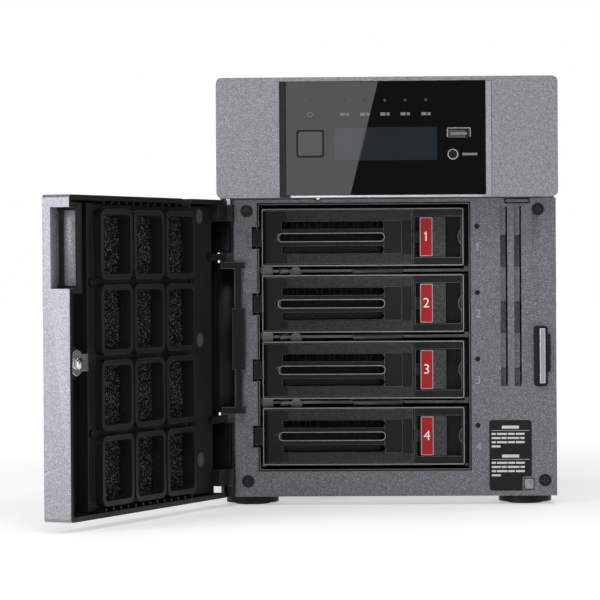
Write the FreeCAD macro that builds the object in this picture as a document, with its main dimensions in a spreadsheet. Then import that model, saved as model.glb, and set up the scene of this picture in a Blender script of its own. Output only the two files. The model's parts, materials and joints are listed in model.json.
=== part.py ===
import FreeCAD, Part
import math
import os
import re
import Sketcher
from FreeCAD import Placement, Rotation, Vector

# A four-bay desktop network storage box with a hinged front door.
# Origin: centre of the footprint on the standing surface. X right, Y to the rear, Z up. Millimetres.
doc = FreeCAD.newDocument("NetworkStorage")
sizes = doc.addObject("Spreadsheet::Sheet", "Sizes")

DRIVING_SIZES = {
    # case
    "case_width": 170, "case_depth": 230, "case_height": 215, "body_bottom": 4.5, "steel": 1.2,
    "corner_radius": 3, "cover_front": -79.8, "rear_plate": 112.5, "edge_gap": 0.2,
    # hood and the window in it
    "hood_bottom": 155, "hood_depth": 35, "hood_wall": 2.5, "window_left": -50.1, "window_right": 49.1,
    "window_bottom": 156.3, "window_top": 212.7, "window_thick": 2.5,
    "trim_left": -53.2, "trim_right": 52.1,
    "carrier_thick": 2, "board_depth": 10, "board_thick": 1.6,
    "power_x": -38.05, "power_z": 181.9, "power_side": 12, "display_key_x": 35.85, "display_key_z": 186.6,
    "display_key_width": 11, "display_key_height": 4.8, "function_x": 32.9, "function_z": 176.2,
    "function_bore": 4.6, "button_gap": 0.3, "button_travel": 1,
    "screen_x": -0.65, "screen_z": 181.7, "screen_width": 51.8, "screen_height": 16.6, "status_z": 203.3,
    "status_pipe": 1.5,
    # front panel, set back behind the hood
    "recess": 22, "panel_thick": 2.5, "panel_step_x": -77.5, "panel_step": 5, "panel_top": 154.7,
    "bay_left": -64.8, "bay_right": 41.1, "bay_bottom": 18.2, "bay_top": 152, "liner_wall": 1.2,
    "liner_depth": 14, "notch_left": -71.2, "notch_half": 5.6, "notch_step": 2.8,
    "notch_depth": 1.2, "light_x": 45.3, "light_lift": 5.2,
    "light_pipe": 2.5, "groove_bottom": 59.8, "groove_top": 151.3, "groove_depth": 1.4,
    "groove_one": 58.7, "groove_two": 65.7, "groove_width": 3.6, "groove_slit": 0.8, "groove_step": 0.9,
    "groove_first": 15.2, "groove_deep": 16.2,
    "screw_head": 6, "screw_head_thick": 1.3, "screw_shank": 3, "screw_hole": 3.4,
    "striker_left": 73.6, "striker_right": 80.5, "striker_bottom": 59.7, "striker_top": 90.1,
    "striker_proud": 2.4, "socket_left": 68.3, "socket_right": 73.7,
    "socket_bottom": 7.2, "socket_top": 13.5,
    # door, drawn closed and then turned open about its hinge
    "door_left": -85, "door_right": 84.6, "door_bottom": 5, "door_top": 154.4, "door_thick": 14,
    "door_skin": 2.4, "door_wall": 1.6, "hinge_x": -80, "hinge_eye": 6.2, "hinge_pin": 3,
    "hinge_clear": 0.1, "lug_top": 10.8, "guard_proud": 6, "guard_relief": 8.2,
    "window_pitch_x": 33, "window_pitch_z": 35.2,
    "grid_x": 3.3, "grid_z": 79, "window_outer_x": 31.4, "window_outer_z": 32.8, "window_rim": 2.4,
    "window_radius": 4.6, "frame_left": -72, "frame_right": 58, "frame_bottom": 8, "frame_top": 151,
    "frame_depth": 7.3, "frame_plate": 1.8, "foam_thick": 4, "grip_bottom": 111.5, "grip_top": 148.6,
    "grip_depth": 8, "lock_x": 74.5, "lock_z": 77.5, "lock_diameter": 10,
    # trays
    "tray_top_centre": 135.4, "tray_pitch": 33.5, "tray_half": 14.6, "sled_left": -64.2,
    "sled_right": 40.5, "sled_front": -80, "sled_rear": 66, "sled_steel": 1.2, "face_left": -63.3,
    "face_right": 38.4, "face_proud": 0.4, "pivot_x": -60.2, "pivot_behind": 2.5, "knuckle": 6.2,
    "pivot_pin": 2, "pivot_clear": 0.1, "handle_right": 12.4, "handle_thick": 3.6, "handle_half": 13.1,
    "tongue_left": -67.6, "tongue_thick": 3.4, "tongue_half": 4.2, "slot_left": -55, "slot_right": -1.6,
    "slot_height": 3.9, "slot_pitch": 6.2, "grille_left": -53.2, "grille_right": 7.2,
    "grille_half": 8.4, "grille_depth": 0.8, "latch_left": 16.3, "latch_right": 29.4, "latch_half": 10.1,
    "latch_play": 0.3, "drive_width": 101.6,
    "drive_length": 147, "drive_height": 26.1, "drive_front": -78,
    # cage and insides
    "cage_left": -67, "cage_right": 43.4, "cage_bottom": 15.5, "cage_top": 154.3, "cage_front": -79,
    "cage_rear": 73, "cage_steel": 1, "ledge": 3.4, "ledge_thick": 1.4, "rail_clear": 0.2,
    "board_left": 46, "board_front": -70, "board_bottom": 20, "board_top": 150,
    "supply_left": -80, "supply_right": 1.5, "supply_length": 150, "supply_height": 40.5,
    "inlet_left": -28, "inlet_bottom": 164, "inlet_width": 27, "inlet_height": 20,
    "fan_x": -12, "fan_z": 85, "fan_side": 92, "fan_thick": 25, "fan_bore": 87, "fan_hub": 36,
    "fan_blade_tip": 83, "fan_hole_pitch": 82.5, "fan_hole": 4.3, "fan_shaft": 3, "guard_wire": 1.2,
    "foot_x": 69.5, "foot_front": -76, "foot_rear": 92, "foot_diameter": 26.7, "foot_height": 3.6,
    "pad_diameter": 17.6, "door_open_angle": 113,
}

for row, (alias, number) in enumerate(DRIVING_SIZES.items(), start=1):
    sizes.set(f"A{row}", alias.replace("_", " "))
    sizes.set(f"B{row}", str(number))
    sizes.setAlias(f"B{row}", alias)
doc.recompute()

# levels that follow from the driving sizes
HALF_WIDTH = "(case_width / 2)"
FRONT = "(0 - case_depth / 2)"
PANEL = f"({FRONT} + recess)"
PANEL_BACK = f"({PANEL} + panel_thick)"
HOOD_BACK = f"({FRONT} + hood_depth)"
HINGE_Y = f"({FRONT} + door_thick)"
WINDOW_BACK = f"({FRONT} + window_thick)"
CARRIER_BACK = f"({WINDOW_BACK} + carrier_thick)"
BOARD_FACE = f"({FRONT} + board_depth)"
STEP_FACE = f"({PANEL} + panel_step)"
PIVOT_Y = f"({PANEL} + pivot_behind)"
FACE_FRONT = f"({PANEL} - face_proud)"
DOOR_FLOOR = f"({FRONT} + door_skin)"
FRAME_BACK = f"({HINGE_Y} - frame_depth + frame_plate)"
TURN = {"X": Rotation(Vector(0, 0, 1), Vector(1, 0, 0)),
        "Y": Rotation(Vector(0, 0, 1), Vector(0, 1, 0)),
        "Z": Rotation()}
QUARTER_TURN = math.pi / 2
sub_parts = []


def in_sheet(text):
    return re.sub(r"[a-z][a-z_0-9]*", r"Sizes.\g<0>", str(text))


def bind(thing, prop, text):
    thing.setExpression(prop, in_sheet(text))


def measure(text):
    number = sizes.evalExpression(in_sheet(text))
    return float(getattr(number, "Value", number))


def keep(label, thing):
    thing.Label = label
    sub_parts.append(thing)
    return thing


def spread(middle, half):
    """The span that reaches as far as half on both sides of the middle."""
    return f"{middle} - {half}", f"{middle} + {half}"


# ---- solids from primitives ----

def block(x, y, z):
    solid = doc.addObject("Part::Box", "Block")
    for prop, axis, (low, high) in (("Length", "x", x), ("Width", "y", y), ("Height", "z", z)):
        bind(solid, prop, f"({high}) - ({low})")
        bind(solid, f".Placement.Base.{axis}", low)
    return solid


def rod(axis, centre, span, diameter):
    solid = doc.addObject("Part::Cylinder", "Rod")
    solid.Placement = Placement(Vector(), TURN[axis])
    bind(solid, "Radius", f"({diameter}) / 2")
    bind(solid, "Height", f"({span[1]}) - ({span[0]})")
    others = [letter for letter in "xyz" if letter != axis.lower()]
    for letter, text in zip(others, centre):
        bind(solid, f".Placement.Base.{letter}", text)
    bind(solid, f".Placement.Base.{axis.lower()}", span[0])
    return solid


def joined(pieces):
    fuse = doc.addObject("Part::MultiFuse", "Joined")
    fuse.Shapes = pieces
    fuse.Refine = True
    return fuse


def carved(base, tools):
    cut = doc.addObject("Part::Cut", "Carved")
    cut.Base = base
    cut.Tool = tools[0] if len(tools) == 1 else joined(tools)
    return cut


def group(pieces):
    compound = doc.addObject("Part::Compound", "Group")
    compound.Links = pieces
    return compound


# ---- sketched bodies ----

# where a sketch on each origin plane lies: its role, and the sign of its normal along the third axis
PLANES = {"XY": ("XY_Plane", 1), "XZ": ("XZ_Plane", -1), "YZ": ("YZ_Plane", 1)}


def new_body(label):
    return keep(label, doc.addObject("PartDesign::Body", "Body"))


def origin_feature(body, role):
    for feature in body.Origin.OriginFeatures:
        if feature.Role == role:
            return feature
    raise ValueError(role)


def sketch_at(body, plane, level, shapes):
    role, sign = PLANES[plane]
    sketch = body.newObject("Sketcher::SketchObject", "Sketch")
    sketch.AttachmentSupport = [(origin_feature(body, role), "")]
    sketch.MapMode = "FlatFace"
    bind(sketch, ".AttachmentOffset.Base.z", level if sign > 0 else f"0 - ({level})")
    for draw in shapes:
        draw(sketch)
    return sketch


def pad(body, plane, low, high, *shapes):
    start, sign = (low, 1) if PLANES[plane][1] > 0 else (high, -1)
    feature = body.newObject("PartDesign::Pad", "Pad")
    feature.Profile = sketch_at(body, plane, start, shapes)
    bind(feature, "Length", f"({high}) - ({low})")
    return feature


def pocket(body, plane, low, high, *shapes):
    start = high if PLANES[plane][1] > 0 else low
    feature = body.newObject("PartDesign::Pocket", "Pocket")
    feature.Profile = sketch_at(body, plane, start, shapes)
    bind(feature, "Length", f"({high}) - ({low})")
    return feature


def row_of(body, feature, axis_role, length, count, backwards=False):
    pattern = body.newObject("PartDesign::LinearPattern", "Row")
    pattern.Originals = [feature]
    pattern.Direction = (origin_feature(body, axis_role), [""])
    pattern.Reversed = backwards
    bind(pattern, "Length", length)
    pattern.Occurrences = count
    body.Tip = pattern
    return pattern


def fillet(body, radius, wanted):
    doc.recompute()
    base = body.Tip
    names = [f"Edge{n}" for n, edge in enumerate(base.Shape.Edges, start=1) if wanted(edge)]
    feature = body.newObject("PartDesign::Fillet", "Fillet")
    feature.Base = (base, names)
    bind(feature, "Radius", radius)
    return feature


def tie(sketch, kind, places, text):
    index = sketch.addConstraint(Sketcher.Constraint(kind, *places, measure(text)))
    name = f"size{index}"
    sketch.renameConstraint(index, name)
    bind(sketch, f"Constraints.{name}", text)


def outline(*points):
    """A closed outline of straight edges through the given corners."""
    def draw(sketch):
        corners = [Vector(measure(across), measure(up), 0) for across, up in points]
        first = sketch.GeometryCount
        count = len(corners)
        for n in range(count):
            sketch.addGeometry(Part.LineSegment(corners[n], corners[(n + 1) % count]), False)
        for n in range(count):
            nxt = first + (n + 1) % count
            sketch.addConstraint(Sketcher.Constraint("Coincident", first + n, 2, nxt, 1))
        for n, (across, up) in enumerate(points):
            tie(sketch, "DistanceX", (-1, 1, first + n, 1), across)
            tie(sketch, "DistanceY", (-1, 1, first + n, 1), up)
    return draw


def rectangle(left, right, low, high):
    return outline((left, low), (right, low), (right, high), (left, high))


def round_rectangle(left, right, low, high, radius):
    """A rectangle whose four corners are arcs of one radius."""
    def draw(sketch):
        x0, x1, y0, y1, r = (measure(text) for text in (left, right, low, high, radius))
        first = sketch.GeometryCount
        runs = (((x0 + r, y0), (x1 - r, y0)), ((x1, y0 + r), (x1, y1 - r)),
                ((x1 - r, y1), (x0 + r, y1)), ((x0, y1 - r), (x0, y0 + r)))
        for begin, end in runs:
            sketch.addGeometry(Part.LineSegment(Vector(*begin, 0), Vector(*end, 0)), False)
        turns = ((x1 - r, y0 + r, 270), (x1 - r, y1 - r, 0), (x0 + r, y1 - r, 90), (x0 + r, y0 + r, 180))
        for cx, cy, angle in turns:
            circle = Part.Circle(Vector(cx, cy, 0), Vector(0, 0, 1), r)
            start = angle * QUARTER_TURN / 90
            sketch.addGeometry(Part.ArcOfCircle(circle, start, start + QUARTER_TURN), False)
        for n in range(4):
            line, arc, after = first + n, first + 4 + n, first + (n + 1) % 4
            sketch.addConstraint(Sketcher.Constraint("Tangent", line, 2, arc, 1))
            sketch.addConstraint(Sketcher.Constraint("Tangent", arc, 2, after, 1))
            sketch.addConstraint(Sketcher.Constraint("Horizontal" if n % 2 == 0 else "Vertical", line))
            if n:
                sketch.addConstraint(Sketcher.Constraint("Equal", first + 4, arc))
        tie(sketch, "Radius", (first + 4,), radius)
        tie(sketch, "DistanceY", (-1, 1, first, 1), low)
        tie(sketch, "DistanceX", (-1, 1, first + 1, 1), right)
        tie(sketch, "DistanceY", (-1, 1, first + 2, 1), high)
        tie(sketch, "DistanceX", (-1, 1, first + 3, 1), left)
    return draw


def circle(across, up, diameter):
    def draw(sketch):
        centre = Vector(measure(across), measure(up), 0)
        ring = Part.Circle(centre, Vector(0, 0, 1), measure(diameter) / 2)
        index = sketch.addGeometry(ring, False)
        tie(sketch, "Diameter", (index,), diameter)
        tie(sketch, "DistanceX", (-1, 1, index, 3), across)
        tie(sketch, "DistanceY", (-1, 1, index, 3), up)
    return draw


# ---- chassis ----

def make_base_pan():
    body = new_body("base_pan")
    side = f"({HALF_WIDTH} - steel - edge_gap)"
    floor_top = "body_bottom + steel"
    pad(body, "XY", "body_bottom", floor_top, rectangle(f"0 - {side}", side, "cover_front", "rear_plate"))
    flange_rows = rectangle("cover_front", "rear_plate", floor_top, "body_bottom + 12")
    pad(body, "YZ", f"0 - {side}", f"0 - {side} + steel", flange_rows)
    pad(body, "YZ", f"{side} - steel", side, flange_rows)
    vent = pocket(body, "XY", "body_bottom", floor_top,
                  round_rectangle("0 - 58", "0 - 22", -52, -48.5, 1.7))
    row_of(body, vent, "Y_Axis", 110, 12)


def make_case_cover():
    body = new_body("case_cover")
    inner = f"({HALF_WIDTH} - steel)"
    ceiling = "case_height - steel"
    profile = outline((f"0 - {HALF_WIDTH}", "body_bottom"), (f"0 - {HALF_WIDTH}", "case_height"),
                      (HALF_WIDTH, "case_height"), (HALF_WIDTH, "body_bottom"), (inner, "body_bottom"),
                      (inner, ceiling), (f"0 - {inner}", ceiling), (f"0 - {inner}", "body_bottom"))
    pad(body, "XZ", "cover_front", "rear_plate + steel", profile)
    top = measure("case_height")
    fillet(body, "corner_radius",
           lambda edge: edge.BoundBox.ZMin > top - 0.01 and edge.BoundBox.XLength < 0.01)
    vent = pocket(body, "YZ", f"0 - {HALF_WIDTH} - 1", f"{HALF_WIDTH} + 1",
                  round_rectangle(-60, -57, 22, 52, 1.45))
    row_of(body, vent, "Y_Axis", 84, 15)


def make_rear_panel():
    body = new_body("rear_panel")
    side = f"({HALF_WIDTH} - steel - edge_gap)"
    half_pitch = "fan_hole_pitch / 2"
    holes = [circle(f"fan_x + ({sx}) * {half_pitch}", f"fan_z + ({sz}) * {half_pitch}", "fan_hole")
             for sx in (-1, 1) for sz in (-1, 1)]
    port_windows = [rectangle(*PORT_SPAN, f"{z} - {high} / 2 - edge_gap", f"{z} + {high} / 2 + edge_gap")
                    for z, high in LAN_ROWS + USB_ROWS]
    supply_top = "cage_top + supply_height"
    pad(body, "XZ", "rear_plate", "rear_plate + steel",
        rectangle(f"0 - {side}", side, "body_bottom", "case_height - steel - edge_gap"),
        circle("fan_x", "fan_z", "fan_bore + 1"),
        rectangle("supply_left + 1.5", "supply_right - 1.5", "cage_top + 1.5", f"{supply_top} - 1.5"),
        *holes, *port_windows)


# sockets on the main board, by height and the size of each
PORT_SPAN = ("board_left + board_thick - edge_gap", "board_left + board_thick + 16.2")
LAN_ROWS = [(132, 13.5), (114, 13.5)]
USB_ROWS = [(96, 7), (84, 7), (72, 7), (60, 7)]


def tray_centre(bay):
    return f"(tray_top_centre - {bay} * tray_pitch)"


def make_drive_cage():
    wall = "cage_steel"
    shell = block(("cage_left", "cage_right"), ("cage_front", "cage_rear"), ("cage_bottom", "cage_top"))
    hollow = block((f"cage_left + {wall}", f"cage_right - {wall}"), ("cage_front - 1", "cage_rear + 1"),
                   (f"cage_bottom + {wall}", f"cage_top - {wall}"))
    pieces = [carved(shell, [hollow])]
    for bay in range(4):
        sled_bottom = f"({tray_centre(bay)} - tray_half - rail_clear)"
        rail = (f"{sled_bottom} - ledge_thick", sled_bottom)
        depth = ("cage_front", "cage_rear - 8")
        pieces.append(block(("cage_left + 0.5", f"cage_left + {wall} + ledge"), depth, rail))
        pieces.append(block((f"cage_right - {wall} - ledge", "cage_right - 0.5"), depth, rail))
        if bay < 3:
            bar = (f"{sled_bottom} - ledge_thick - 1.4", f"{sled_bottom} - ledge_thick")
            across = ("cage_left + 0.5", "cage_right - 0.5")
            pieces.append(block(across, ("cage_front", "cage_front + 6"), bar))
            pieces.append(block((-54, -49.5), ("cage_front - 5", "cage_front + 1"), bar))
    for left in (-60, 28):
        pieces.append(block((left, left + 10), (-70, 66), ("body_bottom + steel", "cage_bottom + 0.5")))
    keep("drive_cage", joined(pieces))


def make_bay_liner():
    outer = block(("bay_left - liner_wall", "bay_right + liner_wall"), (PANEL, f"{PANEL} + liner_depth"),
                  ("bay_bottom - liner_wall", "bay_top + liner_wall"))
    tools = [block(("bay_left", "bay_right"), (f"{PANEL} - 1", f"{PANEL} + liner_depth + 1"),
                   ("bay_bottom", "bay_top"))]
    for bay in range(4):
        centre = tray_centre(bay)
        tools.append(block(("bay_left - liner_wall - 1", "bay_left + 0.5"),
                           (f"{PANEL} - 1", f"{PANEL} + liner_depth - 1.5"),
                           (f"{centre} - notch_half", f"{centre} + notch_half")))
    keep("bay_liner", carved(outer, tools))


def make_front_panel():
    body = new_body("front_panel")
    left, right = f"(0 - {HALF_WIDTH})", HALF_WIDTH
    rim = "panel_thick"
    step_back = f"{STEP_FACE} + {rim}"
    profile = outline((right, "cover_front - edge_gap"), (right, PANEL), ("panel_step_x", PANEL),
                      ("panel_step_x", STEP_FACE), (left, STEP_FACE), (left, "cover_front - edge_gap"),
                      (f"{left} + {rim}", "cover_front - edge_gap"), (f"{left} + {rim}", step_back),
                      (f"panel_step_x + {rim}", step_back), (f"panel_step_x + {rim}", PANEL_BACK),
                      (f"{right} - {rim}", PANEL_BACK), (f"{right} - {rim}", "cover_front - edge_gap"))
    pad(body, "XY", "body_bottom", "panel_top", profile)
    pad(body, "XY", "body_bottom", f"body_bottom + {rim}",
        rectangle("panel_step_x + 1", f"{right} - 1", f"{PANEL} + 1", "cover_front - edge_gap"))
    pocket(body, "XZ", f"{PANEL} - 1", f"{PANEL} + 4",
           rectangle("bay_left - liner_wall", "bay_right + liner_wall",
                     "bay_bottom - liner_wall", "bay_top + liner_wall"))
    low = tray_centre(3)
    notch = pocket(body, "XZ", f"{PANEL} - 1", f"{PANEL} + 4",
                   rectangle("notch_left + notch_step", "bay_left", *spread(low, "notch_half")))
    row_of(body, notch, "Z_Axis", "3 * tray_pitch", 4)
    dish = pocket(body, "XZ", PANEL, f"{PANEL} + notch_depth",
                  round_rectangle("notch_left", "bay_left", *spread(low, "notch_half"), 2))
    row_of(body, dish, "Z_Axis", "3 * tray_pitch", 4)
    light = pocket(body, "XZ", f"{PANEL} - 1", f"{PANEL} + 4",
                   circle("light_x", f"{low} + light_lift", "light_pipe + 0.1"))
    row_of(body, light, "Z_Axis", "3 * tray_pitch", 4)
    # in step with the trays, the grooves have stretches that are a step deeper
    step_top = "(groove_top - groove_first)"
    deep_spans = [(f"{step_top} - {n} * tray_pitch - groove_deep", f"{step_top} - {n} * tray_pitch")
                  for n in range(2)]
    deep_spans.append(("groove_bottom", f"{step_top} - 2 * tray_pitch"))
    for centre in ("groove_one", "groove_two"):
        left_edge, right_edge = spread(centre, "groove_width / 2")
        pocket(body, "XZ", PANEL, f"{PANEL} + groove_depth",
               round_rectangle(left_edge, right_edge, "groove_bottom", "groove_top", 0.8))
        for low_end, high_end in deep_spans:
            pocket(body, "XZ", PANEL, f"{PANEL} + groove_depth + groove_step",
                   rectangle(left_edge, right_edge, low_end, high_end))
        # an open slit runs down the right side
        pocket(body, "XZ", PANEL, f"{PANEL} + 4",
               rectangle(f"{right_edge} - groove_slit", right_edge, "groove_bottom + 1", "groove_top - 1"))
    pocket(body, "XZ", f"{PANEL} - 1", f"{PANEL} + 4",
           rectangle("striker_left + 1.2", "striker_right - 1.2", "striker_bottom + 3", "striker_top - 3"))
    pocket(body, "XZ", PANEL, f"{PANEL} + 1.4",
           rectangle("socket_left", "socket_right", "socket_bottom", "socket_top"))
    pocket(body, "XZ", f"{PANEL} - 1", f"{PANEL} + 4",
           *[circle(x, z, "screw_hole") for x, z in PANEL_SCREWS])
    pocket(body, "XZ", PANEL, f"{PANEL} + screw_head_thick + 0.1",
           *[circle(x, z, "screw_head + 0.5") for x, z in PANEL_SCREWS])


PANEL_SCREWS = [(-71, 149), (-71, 12.3), (76, 149), (79, 12.3)]


def cross_screw(axis, x, y, z, outwards, shank_length):
    """A flat-headed screw with a cross recess, its head's outer face at the given point."""
    place = {"x": x, "y": y, "z": z}
    along = axis.lower()
    others = [place[letter] for letter in "xyz" if letter != along]
    inner = f"{place[along]} - ({outwards}) * screw_head_thick"
    tip = f"{inner} - ({outwards}) * {shank_length}"
    head_span = (inner, place[along]) if outwards > 0 else (place[along], inner)
    shank_span = (tip, inner) if outwards > 0 else (inner, tip)
    solid = joined([rod(axis, others, head_span, "screw_head"),
                    rod(axis, others, shank_span, "screw_shank")])
    depth = (f"{place[along]} - 0.8", f"{place[along]} + 0.8")
    arms = []
    for wide, tall in ((1.6, 0.4), (0.4, 1.6)):
        spans = {along: depth}
        for letter, half in zip([c for c in "xyz" if c != along], (wide, tall)):
            spans[letter] = (f"{place[letter]} - {half}", f"{place[letter]} + {half}")
        arms.append(block(spans["x"], spans["y"], spans["z"]))
    return carved(solid, arms)


def make_panel_screws():
    keep("panel_screws",
         group([cross_screw("Y", x, f"({PANEL} + 0.1)", z, -1, 7) for x, z in PANEL_SCREWS]))


def make_striker():
    body = new_body("striker_housing")
    pad(body, "XZ", f"{PANEL} - striker_proud", PANEL,
        round_rectangle("striker_left", "striker_right", "striker_bottom", "striker_top", 1.5))
    pad(body, "XZ", PANEL, f"{PANEL_BACK} + 1",
        rectangle("striker_left + 1.3", "striker_right - 1.3", "striker_bottom + 3.1", "striker_top - 3.1"))
    plate_slot = ("striker_left + 2.7", "striker_right - 1.1", "striker_bottom + 1.4", "striker_top - 1")
    pocket(body, "XZ", f"{PANEL} - striker_proud", f"{PANEL} - striker_proud + 1.2", rectangle(*plate_slot))
    plate = new_body("striker_plate")
    front = f"{PANEL} - striker_proud"
    pad(plate, "XZ", f"{front} - 0.5", f"{front} + 1.2",
        rectangle("striker_left + 2.8", "striker_right - 1.2", "striker_bottom + 1.5", "striker_top - 1.1"))


def make_hinge_hardware():
    guard = new_body("hinge_guard")
    front = f"{PANEL} - guard_proud"
    outer, inner = "hinge_x - 4", "notch_left - 0.4"
    pad(guard, "XZ", front, PANEL, rectangle("hinge_x + 3.2", "hinge_x + 6.8", 46.7, 123.4))
    for low, high, left in ((119.8, 123.4, outer), (46.7, 50.3, outer), (68.9, 100.2, "hinge_x + 1.6")):
        pad(guard, "XZ", front, PANEL, rectangle(left, inner, low, high))
    for low, high in ((119.8, 123.4), (46.7, 50.3)):
        pad(guard, "XZ", f"{PANEL} - 1", STEP_FACE, rectangle(outer, "panel_step_x - 0.2", low, high))

    lug = joined([rod("Z", ("hinge_x", HINGE_Y), ("door_bottom + 0.2", "lug_top"), "hinge_eye - 0.4"),
                  block(("hinge_x - 2.4", "hinge_x + 2.4"), (HINGE_Y, STEP_FACE),
                        ("door_bottom + 0.2", "lug_top"))])
    pin_seat = rod("Z", ("hinge_x", HINGE_Y), ("door_bottom - 1", "lug_top + 1"), "hinge_pin + 0.04")
    keep("hinge_lug", carved(lug, [pin_seat]))
    keep("hinge_pins", group([
        rod("Z", ("hinge_x", HINGE_Y), ("door_bottom + 0.4", "lug_top + 8"), "hinge_pin"),
        rod("Z", ("hinge_x", HINGE_Y), ("door_top - 9", "hood_bottom + 2"), "hinge_pin")]))


def make_feet():
    feet, pads = [], []
    for side in (-1, 1):
        for y in ("foot_front", "foot_rear"):
            centre = (f"({side}) * foot_x", y)
            disc = ("body_bottom - foot_height", "body_bottom")
            feet.append(carved(rod("Z", centre, disc, "foot_diameter"),
                               [rod("Z", centre, ("0", "body_bottom - foot_height + 1"), "pad_diameter")]))
            pads.append(rod("Z", centre, (0, "body_bottom - foot_height + 1"), "pad_diameter"))
    keep("feet", group(feet))
    keep("foot_pads", group(pads))


# ---- hood ----

BUTTON_HOLES = {
    "power_button": ("power_x", "power_z", "power_side", "power_side", 1.4),
    "display_button": ("display_key_x", "display_key_z", "display_key_width", "display_key_height", 0.6)}
STATUS_LIGHTS = [-38.1, -20.9, -10.8, -0.8, 9.3, 19.6]


def button_openings(gap):
    shapes = []
    for x, z, wide, tall, radius in BUTTON_HOLES.values():
        shapes.append(round_rectangle(f"{x} - {wide} / 2 - {gap}", f"{x} + {wide} / 2 + {gap}",
                                      f"{z} - {tall} / 2 - {gap}", f"{z} + {tall} / 2 + {gap}", radius))
    return shapes


def screen_rectangle(gap):
    return round_rectangle(*spread("screen_x", f"(screen_width / 2 + {gap})"),
                           *spread("screen_z", f"(screen_height / 2 + {gap})"), 1)


def make_hood_shell():
    body = new_body("hood_shell")
    pad(body, "XZ", FRONT, HOOD_BACK,
        round_rectangle(f"0 - {HALF_WIDTH}", HALF_WIDTH, "hood_bottom", "case_height", "corner_radius"))
    pocket(body, "XZ", f"{FRONT} + hood_wall", HOOD_BACK,
           rectangle(f"0 - {HALF_WIDTH} + hood_wall", f"{HALF_WIDTH} - hood_wall",
                     "hood_bottom + 2", "case_height - hood_wall"))
    pocket(body, "XZ", f"{FRONT} - 1", f"{FRONT} + hood_wall",
           rectangle("trim_left - edge_gap", "trim_right + edge_gap", "hood_bottom - 1",
                     "window_top + edge_gap"))
    plunger_y = PLUNGER[1]
    pocket(body, "XY", "hood_bottom - 1", "hood_bottom + 3", circle(PLUNGER[0], plunger_y, 4.4),
           circle("hinge_x", HINGE_Y, "hinge_pin + 0.04"))
    pocket(body, "XY", "hood_bottom", "hood_bottom + 1.2",
           rectangle(58.2, 71.2, f"{HINGE_Y} - 8", f"{HINGE_Y} - 1"))


PLUNGER = (-34.8, f"({HINGE_Y} - 6.5)")


def make_ball_plunger():
    x, y = PLUNGER
    nose = doc.addObject("Part::Sphere", "Nose")
    bind(nose, "Radius", 2)
    for axis, text in (("x", x), ("y", y), ("z", "hood_bottom + 0.6")):
        bind(nose, f".Placement.Base.{axis}", text)
    keep("ball_plunger", joined([nose, rod("Z", (x, y), ("hood_bottom + 0.6", "hood_bottom + 4"), 4),
                                 rod("Z", (x, y), ("hood_bottom + 2.1", "hood_bottom + 3.2"), 5.6)]))


def make_window_parts():
    trim = new_body("window_trim")
    inner_left, inner_right = "window_left - edge_gap", "window_right + edge_gap"
    base, bar_top = "hood_bottom + 0.1", "window_bottom - edge_gap"
    pad(trim, "XZ", FRONT, WINDOW_BACK,
        outline(("trim_left", base), ("trim_right", base), ("trim_right", "window_top"),
                (inner_right, "window_top"), (inner_right, bar_top), (inner_left, bar_top),
                (inner_left, "window_top"), ("trim_left", "window_top")))

    pipes = [circle(x, "status_z", "status_pipe + 0.1") for x in STATUS_LIGHTS]
    window = new_body("display_window")
    pad(window, "XZ", FRONT, WINDOW_BACK,
        rectangle("window_left", "window_right", "window_bottom", "window_top"),
        *button_openings("button_gap"), circle("function_x", "function_z", "function_bore + 0.4"),
        screen_rectangle(0.1), *pipes)

    carrier = new_body("display_carrier")
    pad(carrier, "XZ", WINDOW_BACK, CARRIER_BACK,
        rectangle("trim_left - 1", "trim_right + 1", "hood_bottom + 2.1", "case_height - hood_wall - 0.2"),
        *button_openings("button_gap"),
        circle("function_x", "function_z", "function_bore + 0.4"),
        screen_rectangle(0.1), *pipes)


def make_display():
    glass = new_body("text_display")
    pad(glass, "XZ", f"{FRONT} + 0.3", CARRIER_BACK, screen_rectangle(0))
    pad(glass, "XZ", CARRIER_BACK, f"{BOARD_FACE} - 2",
        rectangle("screen_x - 29", "screen_x + 29", "screen_z - 10.5", "screen_z + 10.5"))

    board_back = f"{BOARD_FACE} + board_thick"
    pieces = [block((-46, 46), (BOARD_FACE, board_back), (162, 209))]
    for x, z in ((-43, 165), (43, 165), (-43, 206), (43, 206)):
        pieces.append(rod("Y", (x, z), (CARRIER_BACK, f"{BOARD_FACE} + 0.5"), 4))
    for x, z in (("power_x", "power_z"), ("display_key_x", "display_key_z"), ("function_x", "function_z")):
        pieces.append(block((f"{x} - 1.9", f"{x} + 1.9"), (f"{BOARD_FACE} - 1.6", f"{BOARD_FACE} + 0.5"),
                            (f"{z} - 1.9", f"{z} + 1.9")))
    pieces.append(block(("screen_x - 12", "screen_x + 12"), (f"{BOARD_FACE} - 2", f"{BOARD_FACE} + 0.5"),
                        ("screen_z - 3", "screen_z + 3")))
    pieces.append(block((-12, 12), (f"{board_back} - 0.5", f"{board_back} + 4"), (195, 202)))
    keep("control_board", joined(pieces))
    pipes = [rod("Y", (x, "status_z"), (FRONT, BOARD_FACE), "status_pipe") for x in STATUS_LIGHTS]
    for bay in range(4):
        centre = ("light_x", f"{tray_centre(bay)} + light_lift")
        pipes.append(joined([rod("Y", centre, (f"{PANEL} - 0.1", f"{PANEL} + 10"), "light_pipe"),
                             rod("Y", centre, (PANEL_BACK, f"{PANEL_BACK} + 1.2"), 4.4)]))
    keep("light_pipes", group(pipes))


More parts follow.
